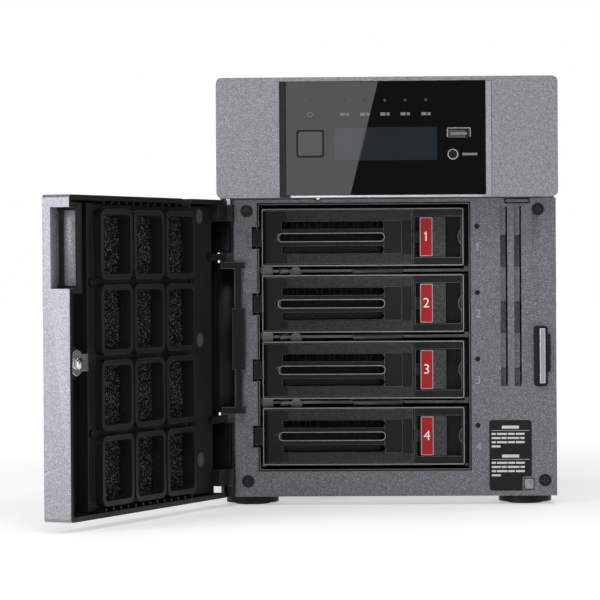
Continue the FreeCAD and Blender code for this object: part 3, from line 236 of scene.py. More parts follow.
def addBump(tree, shader, height, strength, distance):
    bump = addNode(tree, "ShaderNodeBump")
    bump.inputs["Strength"].default_value = strength
    bump.inputs["Distance"].default_value = distance
    tree.links.new(height, bump.inputs["Height"])
    tree.links.new(bump.outputs["Normal"], shader.inputs["Normal"])


def makePaint(name, dark, light, metallic, rough, flakeScale=2900.0, sparkle=1.3):
    material, tree, shader, where = blankMaterial(name)
    flakes = addNode(tree, "ShaderNodeGroup", node_tree=groups["flakes"])
    flakes.inputs["Scale"].default_value = flakeScale
    tree.links.new(where, flakes.inputs["Vector"])
    base = mixColours(tree, flakes.outputs["Shade"], dark, light)
    bright = tuple(min(1, c * sparkle) for c in light[:3]) + (1,)
    tree.links.new(mixColours(tree, flakes.outputs["Flakes"], base, bright), shader.inputs["Base Color"])
    shader.inputs["Metallic"].default_value = metallic
    tree.links.new(rangeNode(tree, flakes.outputs["Shade"], 0, 1, rough - 0.06, rough + 0.08),
                   shader.inputs["Roughness"])
    shader.inputs["Coat Weight"].default_value = 0.25
    shader.inputs["Coat Roughness"].default_value = 0.18
    addBump(tree, shader, flakes.outputs["Height"], 0.25, 0.00004)


def makePlastic(name, dark, light, rough, grainScale=1500.0, depth=0.00003, strength=0.5):
    material, tree, shader, where = blankMaterial(name)
    grain = addNode(tree, "ShaderNodeGroup", node_tree=groups["grain"])
    grain.inputs["Scale"].default_value = grainScale
    tree.links.new(where, grain.inputs["Vector"])
    mixed = mixColours(tree, grain.outputs["Tone"], dark, light)
    tree.links.new(mixed, shader.inputs["Base Color"])
    tree.links.new(rangeNode(tree, grain.outputs["Slow"], 0.3, 0.7, rough - 0.05, rough + 0.08),
                   shader.inputs["Roughness"])
    shader.inputs["Specular IOR Level"].default_value = 0.2
    addBump(tree, shader, grain.outputs["Height"], strength, depth)


def makeMetal(name, dark, light, rough, stretch):
    material, tree, shader, where = blankMaterial(name)
    brushed = addNode(tree, "ShaderNodeGroup", node_tree=groups["brushed"])
    brushed.inputs["Stretch"].default_value = stretch
    tree.links.new(where, brushed.inputs["Vector"])
    tree.links.new(mixColours(tree, brushed.outputs["Lines"], dark, light), shader.inputs["Base Color"])
    shader.inputs["Metallic"].default_value = 1
    tree.links.new(rangeNode(tree, brushed.outputs["Stain"], 0.3, 0.7, rough - 0.06, rough + 0.08),
                   shader.inputs["Roughness"])
    addBump(tree, shader, brushed.outputs["Lines"], 0.15, 0.00003)


def makeGloss(name, dark, light, rough):
    material, tree, shader, where = blankMaterial(name)
    grain = addNode(tree, "ShaderNodeGroup", node_tree=groups["grain"])
    grain.inputs["Scale"].default_value = 300
    tree.links.new(where, grain.inputs["Vector"])
    tree.links.new(mixColours(tree, grain.outputs["Slow"], dark, light), shader.inputs["Base Color"])
    tree.links.new(rangeNode(tree, grain.outputs["Slow"], 0.3, 0.7, rough, rough * 1.5),
                   shader.inputs["Roughness"])
    addBump(tree, shader, grain.outputs["Slow"], 0.004, 0.0001)


def makeFoam(name):
    material, tree, shader, where = blankMaterial(name)
    cells = addNode(tree, "ShaderNodeTexVoronoi", feature="F1")
    cells.inputs["Scale"].default_value = 2200
    tree.links.new(where, cells.inputs["Vector"])
    split = addNode(tree, "ShaderNodeSeparateColor")
    tree.links.new(cells.outputs["Color"], split.inputs[0])
    glint = rangeNode(tree, split.outputs[0], 0.8, 1.0, 0.0, 1.0)
    tree.links.new(mixColours(tree, glint, (0.0025, 0.0025, 0.0025, 1), (0.15, 0.15, 0.153, 1)),
                   shader.inputs["Base Color"])
    shader.inputs["Roughness"].default_value = 0.9
    shader.inputs["Specular IOR Level"].default_value = 0.1
    addBump(tree, shader, split.outputs[1], 0.6, 0.0003)


def makeBoard(name):
    material, tree, shader, where = blankMaterial(name)
    tracks = addNode(tree, "ShaderNodeTexBrick")
    tracks.inputs["Scale"].default_value = 160
    tree.links.new(where, tracks.inputs["Vector"])
    tracks.inputs["Color1"].default_value = (0.01, 0.11, 0.05, 1)
    tracks.inputs["Color2"].default_value = (0.012, 0.15, 0.06, 1)
    tracks.inputs["Mortar"].default_value = (0.02, 0.2, 0.09, 1)
    tree.links.new(tracks.outputs["Color"], shader.inputs["Base Color"])
    shader.inputs["Roughness"].default_value = 0.35


groups = {"flakes": makeFlakeGroup(), "grain": makeGrainGroup(), "brushed": makeBrushedGroup()}
makePaint("shellPaint", (0.15, 0.15, 0.17, 1), (0.33, 0.33, 0.365, 1), 0.6, 0.42)
makePaint("panelPaint", (0.065, 0.065, 0.074, 1), (0.19, 0.19, 0.212, 1), 0.5, 0.5, 3700.0, 2.1)
# a pale paint: the colour of the trim strips, and a painted highlight on the raised bay digits
makePaint("palePaintAndDigitHighlight", (0.24, 0.24, 0.257, 1), (0.36, 0.36, 0.385, 1), 0.5, 0.45)
# a darker paint for the deep groove stretches: painted shade in the recesses
makePaint("paintedGrooveShade", (0.035, 0.035, 0.04, 1), (0.09, 0.09, 0.1, 1), 0.4, 0.55, 3200.0, 1.9)
makePlastic("blackPlastic", (0.004, 0.004, 0.0045, 1), (0.009, 0.009, 0.0095, 1), 0.4)
# a pale grey laid on rounded edges of dark parts: a painted highlight
makePlastic("paintedEdgeHighlight", (0.2, 0.2, 0.205, 1), (0.32, 0.32, 0.33, 1), 0.35)
makePlastic("doorPlastic", (0.007, 0.007, 0.008, 1), (0.014, 0.014, 0.0155, 1), 0.42)
makePlastic("handlePlastic", (0.014, 0.014, 0.0145, 1), (0.042, 0.042, 0.0435, 1), 0.5, 1300, 0.00008, 0.8)
makePlastic("latchPlastic", (0.018, 0.018, 0.0185, 1), (0.07, 0.07, 0.0725, 1), 0.5, 1400, 0.00008, 0.8)
makePlastic("redLabel", (0.3, 0.008, 0.011, 1), (0.38, 0.012, 0.015, 1), 0.38)
makePlastic("whiteInk", (0.72, 0.72, 0.72, 1), (0.8, 0.8, 0.8, 1), 0.5)
makePlastic("greyInk", (0.32, 0.32, 0.33, 1), (0.4, 0.4, 0.41, 1), 0.5)
makePlastic("rubber", (0.012, 0.012, 0.012, 1), (0.022, 0.022, 0.022, 1), 0.75)
makeFloorLook()
# a dim grey on rounded edges of black parts, a painted highlight; also the tone of the ejector marks
makePlastic("dimEdgeHighlightAndMarks", (0.045, 0.045, 0.048, 1), (0.075, 0.075, 0.08, 1), 0.35)
# a light grey on the tray fronts' rounded edges and the scoop's edge: a painted highlight
makePlastic("paintedEdgeHighlightBright", (0.32, 0.32, 0.325, 1), (0.45, 0.45, 0.46, 1), 0.35)
makeMetal("trimDark", (0.02, 0.02, 0.022, 1), (0.05, 0.05, 0.052, 1), 0.4, (900, 900, 900))
makeGloss("windowGloss", (0.0015, 0.0015, 0.0016, 1), (0.0025, 0.0025, 0.0028, 1), 0.002)
makePlastic("stickerBlack", (0.006, 0.006, 0.006, 1), (0.01, 0.01, 0.01, 1), 0.3)
makePlastic("stickerInk", (0.5, 0.5, 0.5, 1), (0.6, 0.6, 0.6, 1), 0.5)
makePlastic("markInk", (0.14, 0.14, 0.144, 1), (0.19, 0.19, 0.195, 1), 0.4)
makeGloss("displayGlass", (0.01, 0.015, 0.017, 1), (0.016, 0.022, 0.026, 1), 0.01)
makeGloss("clearLens", (0.03, 0.03, 0.032, 1), (0.05, 0.05, 0.053, 1), 0.15)
makeGloss("buttonGloss", (0.012, 0.012, 0.0125, 1), (0.018, 0.018, 0.019, 1), 0.02)
makeMetal("silverTrim", (0.55, 0.55, 0.57, 1), (0.75, 0.75, 0.77, 1), 0.22, (8000, 8000, 60))
makeMetal("zincSteel", (0.42, 0.43, 0.44, 1), (0.62, 0.63, 0.64, 1), 0.3, (300, 60, 6000))
makeMetal("polishedMetal", (0.62, 0.62, 0.62, 1), (0.78, 0.78, 0.78, 1), 0.12, (900, 900, 900))
makeMetal("castAluminium", (0.3, 0.3, 0.31, 1), (0.42, 0.42, 0.43, 1), 0.42, (1800, 1800, 1800))
makePlastic("blackScrew", (0.003, 0.003, 0.003, 1), (0.008, 0.008, 0.008, 1), 0.25)
makeMetal("darkSteel", (0.1, 0.1, 0.105, 1), (0.18, 0.18, 0.185, 1), 0.35, (300, 60, 6000))
makePlastic("grilleBrown", (0.012, 0.004, 0.003, 1), (0.024, 0.008, 0.006, 1), 0.5)
makeFoam("filterFoam")
makeBoard("circuitBoard")
print("materials made:", len(materials))

slotLook = {
    "painted_shell": "shellPaint", "panel_plastic": "panelPaint", "black_plastic": "blackPlastic",
    "zinc_steel": "zincSteel",
    "bright_metal": "polishedMetal", "silver_trim": "silverTrim", "gloss_window": "windowGloss",
    "display_glass": "displayGlass",
    "handle_plastic": "handlePlastic", "latch_plastic": "latchPlastic", "button_plastic": "buttonGloss",
    "black_screw": "blackScrew",
    "circuit_board": "circuitBoard", "bare_aluminium": "castAluminium", "filter_foam": "filterFoam",
    "pad_rubber": "rubber",
    "clear_lens": "clearLens", "inlet_plastic": "blackPlastic", "fan_plastic": "blackPlastic",
}
nodeLook = {"door_inner_frame": "doorPlastic", "striker_plate": "castAluminium", "drive_cage": "darkSteel"}
slotOfNode = {row["node"]: row["material_slot"] for row in frame["record"]["subparts"]}
for nodeName, cadNode in nodes.items():
    cadNode.data.materials.clear()
    cadNode.data.materials.append(materials[nodeLook.get(nodeName, slotLook[slotOfNode[nodeName]])])


def deselectAll():
    if bpy.context.object and bpy.context.object.mode != "OBJECT":
        bpy.ops.object.mode_set(mode="OBJECT")
    bpy.ops.object.select_all(action="DESELECT")


def makeActive(piece):
    deselectAll()
    piece.select_set(True)
    bpy.context.view_layer.objects.active = piece


bodyOfNode = {name: body for body, names in frame["record"]["behaviour"]["bodies"].items() for name in names}


# a softened copy stands in for a CAD shell, so that its edges catch the light
def softened(nodeName, width, edgeLook=None):
    source = nodes[nodeName]
    piece = source.copy()
    piece.data = source.data.copy()
    piece.name = nodeName + "_skin"
    piece.parent = None
    bpy.context.scene.collection.objects.link(piece)
    makeActive(piece)
    bpy.ops.object.mode_set(mode="EDIT")
    bpy.ops.mesh.select_all(action="SELECT")
    bpy.ops.mesh.remove_doubles(threshold=0.002 * mm)
    bpy.ops.mesh.dissolve_limited(angle_limit=math.radians(1))
    bpy.ops.object.mode_set(mode="OBJECT")
    bpy.ops.object.shade_smooth_by_angle(angle=math.radians(35))
    if edgeLook:
        piece.data.materials.append(materials[edgeLook])
    roundEdges(piece, width, look=1 if edgeLook else -1)
    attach(piece, bodyOfNode[nodeName])
    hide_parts(nodeName)
    return piece


def roundEdges(piece, width, segments=2, look=-1, angle=30):
    makeActive(piece)
    bevel = piece.modifiers.new("edges", "BEVEL")
    bevel.width = width * mm
    bevel.segments = segments
    bevel.limit_method = "ANGLE"
    bevel.angle_limit = math.radians(angle)
    bevel.harden_normals = True
    bevel.material = look
    bpy.ops.object.modifier_apply(modifier="edges")


def splitAcross(piece, place, normal):
    makeActive(piece)
    bpy.ops.object.mode_set(mode="EDIT")
    bpy.ops.mesh.select_all(action="SELECT")
    bpy.ops.mesh.bisect(plane_co=Vector(place) * mm, plane_no=normal)
    bpy.ops.object.mode_set(mode="OBJECT")


# gives another finish to the faces that wanted(centre in mm, normal) accepts
def lookOnFaces(piece, look, wanted, over=None):
    names = [material.name for material in piece.data.materials]
    if look not in names:
        piece.data.materials.append(materials[look])
        names.append(look)
    for face in piece.data.polygons:
        if over is not None and face.material_index != over:
            continue
        if wanted(face.center / mm, face.normal):
            face.material_index = names.index(look)


# the door is drawn closed and then turned open about its hinge
doorTurn = {"hinge": (-80, -101, 0), "open": -113}
hingePlace = Vector(doorTurn["hinge"])
doorSwing = Matrix.Rotation(math.radians(doorTurn["open"]), 4, "Z")
closedAgain = doorSwing.inverted()


def closedPlace(place):
    return closedAgain @ (place - hingePlace) + hingePlace


# the lighter edge colours in this table paint a highlight along the rounded edges
softEdges = {  # node: edge width, finish of the rounded edge
    "hood_shell": (0.6, None), "case_cover": (0.3, None), "front_panel": (0.2, None),
    "door_shell": (0.5, None),
    "door_inner_frame": (0.5, "dimEdgeHighlightAndMarks"), "window_trim": (0.15, None), "bay_liner": (0.2, "paintedEdgeHighlight"),
    "hinge_guard": (0.4, "dimEdgeHighlightAndMarks"), "striker_housing": (0.5, None), "striker_plate": (0.4, "silverTrim"),
    "display_button": (0.25, None), "feet": (0.4, None), "foot_pads": (0.2, None),
    "lock_housing": (0.3, None), "lock_cam": (0.2, None), "light_pipes": (0.15, None),
    "panel_screws": (0.15, "paintedEdgeHighlight"),
    "door_screws": (0.15, None), "ball_plunger": (0.15, None),
}
for bay in range(1, 5):
    softEdges[f"handle_{bay}"] = (0.3, "paintedEdgeHighlight")
    softEdges[f"latch_{bay}"] = (0.18, "dimEdgeHighlightAndMarks")
    softEdges[f"tray_{bay}"] = (0.22, "paintedEdgeHighlightBright")
skins = {}
trayTop = 135.4
trayPitch = 33.5
handleLook = {"darkLeft": -50.5, "middleHalf": 8.6}


def trayLevel(bay):
    return trayTop - trayPitch * (bay - 1)


for nodeName, (width, edgeLook) in softEdges.items():
    skins[nodeName] = softened(nodeName, width, edgeLook)
for bay in range(1, 5):
    lookOnFaces(skins[f"tray_{bay}"], "blackPlastic",
                lambda place, normal: place.y < -79, over=0)
    handle = skins[f"handle_{bay}"]
    middle = trayLevel(bay)
    left, half = handleLook["darkLeft"], handleLook["middleHalf"]
    splitAcross(handle, (left, 0, 0), (1, 0, 0))
    for level in (middle - half, middle + half):
        splitAcross(handle, (0, 0, level), (0, 0, 1))
    lookOnFaces(handle, "blackPlastic",
                lambda place, normal: place.x < left or abs(place.z - middle) < half, over=0)
print("softened shells:", len(softEdges))

doorInside = {"skinTop": -112.9, "freeWall": 81.9, "hingeWall": -84.7, "z": (5.3, 154.1),
              "gripX": 76, "gripY": (-111.2, -110)}
lookOnFaces(skins["door_shell"], "blackPlastic", lambda place, normal: (
    closedPlace(place).y > doorInside["skinTop"]
    and doorInside["hingeWall"] < closedPlace(place).x < doorInside["freeWall"]
    and (closedAgain @ normal).y > -0.5 and doorInside["z"][0] < place.z < doorInside["z"][1]))
lookOnFaces(skins["door_shell"], "shellPaint", lambda place, normal: (
    (closedAgain @ normal).y > 0.5 and closedPlace(place).x > doorInside["gripX"]
    and doorInside["gripY"][0] < closedPlace(place).y < doorInside["gripY"][1]))
trimEdges = (-48.3, -47.5, 47.5)  # the window trim is one flat piece, so it is split here
for sideways in trimEdges:
    splitAcross(skins["window_trim"], (sideways, 0, 0), (1, 0, 0))
lookOnFaces(skins["window_trim"], "trimDark", lambda place, normal: place.x < trimEdges[0])
lookOnFaces(skins["window_trim"], "palePaintAndDigitHighlight",
            lambda place, normal: trimEdges[0] < place.x < trimEdges[1])
lookOnFaces(skins["window_trim"], "palePaintAndDigitHighlight", lambda place, normal: place.x > 45)
# the deep stretches of the grooves get the darker paint: painted shade
lookOnFaces(skins["front_panel"], "paintedGrooveShade",
            lambda place, normal: normal.y < -0.9 and -90.9 < place.y < -90.6)  # the deep stretches
lookOnFaces(skins["light_pipes"], "blackPlastic", lambda place, normal: place.z < 160)


def withLook(piece, look):
    piece.data.materials.clear()
    piece.data.materials.append(materials[look])
    return piece


# new pieces are started, shaped and finished with these; sizes are in millimetres
def startBox(name, x, y, z):
    deselectAll()
    bpy.ops.mesh.primitive_cube_add(size=1, location=[(low + high) / 2 * mm for low, high in (x, y, z)])
    piece = bpy.context.object
    piece.name = name
    piece.scale = [(high - low) * mm for low, high in (x, y, z)]
    bpy.ops.object.transform_apply(location=True, rotation=True, scale=True)
    return piece


def startRod(name, place, axis, radius, length, sides=32):
    turn = {"X": (0, math.pi / 2, 0), "Y": (math.pi / 2, 0, 0), "Z": (0, 0, 0)}[axis]
    deselectAll()
    bpy.ops.mesh.primitive_cylinder_add(vertices=sides, radius=radius * mm, depth=length * mm,
                                        location=Vector(place) * mm, rotation=turn)
    piece = bpy.context.object
    piece.name = name
    bpy.ops.object.transform_apply(location=True, rotation=True, scale=True)
    return piece


# an upright plate with round corners, from y[0] in front to y[1] behind
def startRoundPlate(name, x, z, y, radius, steps=5):
    deselectAll()
    bpy.ops.mesh.primitive_plane_add(size=1, rotation=(math.pi / 2, 0, 0),
                                     location=(sum(x) / 2 * mm, y[0] * mm, sum(z) / 2 * mm))
    piece = bpy.context.object
    piece.name = name
    piece.scale = ((x[1] - x[0]) * mm, (z[1] - z[0]) * mm, 1)
    bpy.ops.object.transform_apply(location=True, rotation=True, scale=True)
    bpy.ops.object.mode_set(mode="EDIT")
    bpy.ops.mesh.select_all(action="SELECT")
    bpy.ops.mesh.bevel(offset=radius * mm, segments=steps, affect="VERTICES")
    bpy.ops.mesh.extrude_region_move(TRANSFORM_OT_translate={"value": (0, (y[1] - y[0]) * mm, 0)})
    bpy.ops.mesh.select_all(action="SELECT")
    bpy.ops.mesh.normals_make_consistent(inside=False)
    bpy.ops.object.mode_set(mode="OBJECT")
    return piece


def selectFaces(piece, wanted):
    makeActive(piece)
    bpy.ops.object.mode_set(mode="EDIT")
    bpy.ops.mesh.select_mode(type="FACE")
    bpy.ops.mesh.select_all(action="DESELECT")
    bpy.ops.object.mode_set(mode="OBJECT")
    for face in piece.data.polygons:
        face.select = wanted(face.center / mm, face.normal)
    bpy.ops.object.mode_set(mode="EDIT")


# insets the front faces by rim and pushes them back by depth
def sinkFront(piece, rim, depth):
    selectFaces(piece, lambda place, normal: normal.y < -0.9)
    bpy.ops.mesh.inset(thickness=rim * mm)
    bpy.ops.mesh.extrude_region_move(TRANSFORM_OT_translate={"value": (0, depth * mm, 0)})
    bpy.ops.object.mode_set(mode="OBJECT")


# turns a round plate into a ring: the middle of its front and back goes
def openFront(piece, rim):
    selectFaces(piece, lambda place, normal: abs(normal.y) > 0.9)
    bpy.ops.mesh.inset(thickness=rim * mm, use_individual=True)
    bpy.ops.mesh.bridge_edge_loops()
    bpy.ops.object.mode_set(mode="OBJECT")


def addText(name, text, place, height, thick):
    deselectAll()
    bpy.ops.object.text_add(rotation=(math.pi / 2, 0, 0), location=Vector(place) * mm)
    piece = bpy.context.object
    piece.name = name
    piece.data.body = text
    piece.data.align_x = "CENTER"
    piece.data.align_y = "CENTER"
    piece.data.size = height * mm
    piece.data.extrude = thick * mm / 2
    piece.data.resolution_u = 4
    bpy.ops.object.convert(target="MESH")
    bpy.ops.object.transform_apply(location=True, rotation=True, scale=True)
    return bpy.context.object


def addDigit(name, digit, place, height, thick):
    piece = addText(name, str(digit), place, height, thick)
    if digit != 1:
        return piece
    x, y, z = place  # the typeface's 1 is a bare bar, so it gets its flag
    flag = startBox("flag", (-0.16 * height, 0), (y - thick / 2, y + thick / 2),
                    (-0.045 * height, 0.045 * height))
    turn = Matrix.Translation(Vector((x, 0, z + 0.31 * height)) * mm) @ Matrix.Rotation(math.radians(-38),
            4, "Y")
    flag.data.transform(turn)
    return joinPieces(name, [piece, flag])


def joinPieces(name, pieces):
    deselectAll()
    for piece in pieces:
        piece.select_set(True)
    bpy.context.view_layer.objects.active = pieces[0]
    bpy.ops.object.join()
    pieces[0].name = name
    return pieces[0]


def copyPiece(piece, name, shift):
    copied = piece.copy()
    copied.data = piece.data.copy()
    copied.data.transform(Matrix.Translation(Vector(shift) * mm))
    copied.name = name
    bpy.context.scene.collection.objects.link(copied)
    return copied


def finishPiece(piece, body, look=None):
    if look:
        withLook(piece, look)
    if body in ("door", "lock"):  # these are drawn closed
        away = Matrix.Translation(-hingePlace * mm)
        piece.data.transform(away.inverted() @ doorSwing @ away)
    makeActive(piece)
    bpy.ops.object.shade_smooth_by_angle(angle=math.radians(35))
    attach(piece, body)
    return piece


doorLook = {
    "liningX": (-83.2, -72.3), "liningY": (-112.5, -111.9), "wallX": (-83.3, -82.7), "lowZ": (11.4, 41.5),
    "highZ": (128.5, 143),
    "middleZ": (42.2, 127.8), "wallBack": -101.8, "guardBack": -109.6, "catchX": (-83, -67),
    "catchY": (-111, -103.4),
    "catchZ": ((124.1, 127.5), (42.4, 46)), "frameFace": -106.5, "ejectorX": -58.5,
    "ejectorZ": (146, 84.6, 25), "ejector": 3.6,
    "liningZ": (7.6, 151.8), "edge": 0.18, "catchRim": 0.8, "catchSink": 1.2, "markThick": 0.12,
    "markRim": 0.35,
    "markSink": 0.08,
}


def makeDoorLining():
    row = doorLook
    pieces = [startBox("lining", row["liningX"], row["liningY"], row["liningZ"])]
    for z, back in ((row["lowZ"], row["wallBack"]), (row["highZ"], row["wallBack"]),
                    (row["middleZ"], row["guardBack"])):
        pieces.append(startBox("lining", row["wallX"], (row["liningY"][0], back), z))
    for z in row["catchZ"]:
        catch = startBox("catch", row["catchX"], row["catchY"], z)
        sinkFront(catch, row["catchRim"], row["catchSink"])
        pieces.append(catch)
    lining = joinPieces("door_lining", pieces)
    roundEdges(lining, row["edge"])
    finishPiece(lining, "door", "blackPlastic")


def makeEjectorMarks():
    row = doorLook
    first = startRod("mark", (row["ejectorX"], row["frameFace"] + row["markThick"] / 2,
                              row["ejectorZ"][0]), "Y", row["ejector"], row["markThick"], 28)
    sinkBack(first, row["markRim"], row["markSink"])
    marks = [first] + [copyPiece(first, "mark",
                                 (0, 0, z - row["ejectorZ"][0])) for z in row["ejectorZ"][1:]]
    finishPiece(joinPieces("door_ejector_marks", marks), "door", "dimEdgeHighlightAndMarks")


def sinkBack(piece, rim, depth):
    selectFaces(piece, lambda place, normal: normal.y > 0.9)
    bpy.ops.mesh.inset(thickness=rim * mm)
    bpy.ops.mesh.extrude_region_move(TRANSFORM_OT_translate={"value": (0, -depth * mm, 0)})
    bpy.ops.object.mode_set(mode="OBJECT")


ribLook = {"firstX": -40, "pitch": 7.4, "count": 13, "wide": 1.6, "y": (-106.2, -101.6),
           "topZ": (150.2, 151.9), "lowZ": (7.5, 9.2)}


def makeDoorRibs():
    row = ribLook
    ribs = []
    for z in (row["topZ"], row["lowZ"]):
        first = startBox("rib", (row["firstX"], row["firstX"] + row["wide"]), row["y"], z)
        roundEdges(first, 0.2, 1)
        ribs += [first] + [copyPiece(first, "rib", (row["pitch"] * step, 0, 0)) for step in range(1,
                row["count"])]
    finishPiece(joinPieces("door_ribs", ribs), "door", "blackPlastic")


# the pad stops short of the recess's deep wall, so a strip of the black recess floor beside it shows as
# painted shadow
gripLook = {"x": (76.7, 77.5), "y": (-107.7, -101.9), "z": (112.6, 147.5)}


def makeGripPad():
    row = gripLook
    pad = startBox("grip_pad", row["x"], row["y"], row["z"])
    roundEdges(pad, 0.35, 3)
    finishPiece(pad, "door", "panelPaint")


nutLook = {"place": (74.5, -102.1, 77.5), "radius": 3.1, "thick": 1.3, "stud": 1.5}


def makeLockNut():
    row = nutLook
    nut = startRod("nut", row["place"], "Y", row["radius"], row["thick"], 6)
    roundEdges(nut, 0.35)
    stud = startRod("stud", row["place"], "Y", row["stud"], row["thick"] + 0.5, 20)
    roundEdges(stud, 0.25)
    finishPiece(joinPieces("lock_nut", [nut, stud]), "lock", "polishedMetal")


foamLook = {"x": (-70.2, 56.2), "y": (-112.2, -108.45), "z": (8.7, 150.3), "cuts": 60, "rough": 0.5}


def makeFilterSheet():
    row = foamLook
    foam = startBox("foam_sheet", row["x"], row["y"], row["z"])
    selectFaces(foam, lambda place, normal: normal.y > 0.9)
    bpy.ops.mesh.inset(thickness=1.2 * mm)
    bpy.ops.mesh.subdivide(number_cuts=row["cuts"])
    bpy.ops.object.mode_set(mode="OBJECT")
    roughness = bpy.data.textures.new("foamSurface", "CLOUDS")
    roughness.noise_scale = 2.6 * mm
    displace = foam.modifiers.new("surface", "DISPLACE")
    displace.texture = roughness
    displace.strength = row["rough"] * mm
    displace.mid_level = 1.0
    makeActive(foam)
    bpy.ops.object.modifier_apply(modifier="surface")
    finishPiece(foam, "door", "filterFoam")
    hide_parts("foam_filter")


makeDoorLining()
makeEjectorMarks()
makeDoorRibs()
makeGripPad()
makeLockNut()
makeFilterSheet()
print("door fitted out")


trayLook = {
    "labelX": (16.5, 22.8), "labelHalf": 9.75, "labelY": (-93.28, -92.9), "labelRim": 0.35, "digit": 7.0,
    "digitX": 19.55,
    "grilleX": (-54, 1), "grilleY": (-88.6, -87.8), "grilleHalf": 9.5, "holeRadius": 2.5, "holeX": -50,
    "holePitch": 6.2,
    "scoopX": 40.6, "scoopRadius": 5.0, "scoopY": -91.2, "scoopDeep": 4.2, "wellRight": 37.3,
}


def makeTrayTrim(bay):
    row = trayLook
    c = trayLevel(bay)
    tile = startRoundPlate("label", row["labelX"], (c - row["labelHalf"], c + row["labelHalf"]),
                           row["labelY"], 0.5)
    withLook(tile, "redLabel")
    tile.data.materials.append(materials["greyInk"])
    selectFaces(tile, lambda place, normal: normal.y < -0.9)
    bpy.ops.mesh.inset(thickness=row["labelRim"] * mm)
    bpy.ops.mesh.extrude_region_move(TRANSFORM_OT_translate={"value": (0, 0.06 * mm, 0)})
    bpy.ops.object.mode_set(mode="OBJECT")
    left, right = row["labelX"]
    lookOnFaces(tile, "greyInk", lambda place, normal: not (
        normal.y < -0.9 and left + 1 < place.x < right - 1 and abs(place.z - c) < 3))
    digit = withLook(addDigit("digit", bay, (row["digitX"], row["labelY"][0] + 0.02, c), row["digit"],
                              0.1), "whiteInk")
    finishPiece(joinPieces(f"tray_label_{bay}", [tile, digit]), f"latch_{bay}")

    plate = withLook(startBox("grille", row["grilleX"], row["grilleY"],
                              (c - row["grilleHalf"], c + row["grilleHalf"])), "blackPlastic")
    roundEdges(plate, 0.2)
    ring = startRod("hole", (row["holeX"], row["grilleY"][0] - 0.1, c + row["holePitch"]), "Y",
                    row["holeRadius"], 0.3, 8)
    openFront(ring, 0.45)
    withLook(ring, "grilleBrown")
    holes = [ring]
    for across in range(8):
        for up in range(3):
            if across or up:
                holes.append(copyPiece(ring, "hole",
                                       (row["holePitch"] * across, 0, -row["holePitch"] * up)))
    finishPiece(joinPieces(f"tray_grille_{bay}", [plate] + holes), f"tray_{bay}")

    # a rounded bump on the well's right wall; its rounded edge takes the bright edge colour, a painted
    # highlight
    scoop = startRod("scoop", (row["scoopX"], row["scoopY"], c), "Y", row["scoopRadius"],
                     row["scoopDeep"], 48)
    bpy.ops.object.mode_set(mode="EDIT")
    bpy.ops.mesh.select_all(action="SELECT")
    bpy.ops.mesh.bisect(plane_co=(row["wellRight"] * mm, 0, 0), plane_no=(1, 0, 0), use_fill=True,
                        clear_outer=True)
    bpy.ops.object.mode_set(mode="OBJECT")
    withLook(scoop, "blackPlastic")
    scoop.data.materials.append(materials["paintedEdgeHighlightBright"])
    roundEdges(scoop, 0.5, 2, 1)
    finishPiece(scoop, f"tray_{bay}")
    scoop.name = f"tray_scoop_{bay}"


highlightRingLook = {"trayX": (-63.3, 38.4), "trayHalf": 14.4, "slotX": (-55.35, -1.25), "slotHalf": 2.3, "rim": 0.4,
           "proud": 0.05, "deep": 0.3}


def frontOf(name):
    return min((nodes[name].matrix_world @ corner.co).y for corner in nodes[name].data.vertices) / mm


# a thin pale ring just proud of a front, tracing its outline: a painted highlight line
def makeRim(name, x, z, radius, carrier, body):
    front = frontOf(carrier)
    rim = startRoundPlate(name, x, z, (front - highlightRingLook["proud"], front + highlightRingLook["deep"]), radius)
    openFront(rim, highlightRingLook["rim"])
    finishPiece(rim, body, "paintedEdgeHighlight")


def makeRims(bay):
    c = trayLevel(bay)
    row = highlightRingLook
    makeRim(f"tray_highlight_ring_{bay}", row["trayX"], (c - row["trayHalf"], c + row["trayHalf"]), 1.0,
            f"tray_{bay}", f"tray_{bay}")
    makeRim(f"handle_highlight_ring_{bay}", row["slotX"], (c - row["slotHalf"], c + row["slotHalf"]), 2.2,
            f"handle_{bay}", bodyOfNode[f"handle_{bay}"])


for bay in range(1, 5):
    makeTrayTrim(bay)
    makeRims(bay)
print("trays fitted out")


panelFace = -93
panelLook = {
    "digitX": 45.6, "digitDrop": 5.6, "digit": 5.8, "proud": 0.25, "pieceX": (68.9, 73.1),
    "pieceZ": (7.9, 12.9), "pieceY": (-92.9, -91.7),
    "stickerX": (50.9, 72.3), "stickerZ": (7, 42.7), "stickerThick": 0.12, "notchX": 67.6, "notchZ": 14.2,
    "bumpX": (79.9, 82), "bumpZ": (67, 86), "bumpY": (-95.2, -93), "slotX": (59, 72),
    "slotZ": (151.9, 154.6),
    "shadeStripX": (-85.9, -77.6), "shadeStripY": (-88.35, -88.05), "shadeStripZ": (47, 123),
}


# the raised bay digits are coloured paler than the panel: a painted highlight
def makeBayDigits():
    row = panelLook
    for bay in range(1, 5):
        z = trayLevel(bay) - row["digitDrop"]
        digit = addDigit(f"bay_digit_{bay}", bay, (row["digitX"], panelFace - row["proud"] / 2, z),
                         row["digit"], row["proud"])
        finishPiece(digit, "chassis", "palePaintAndDigitHighlight")


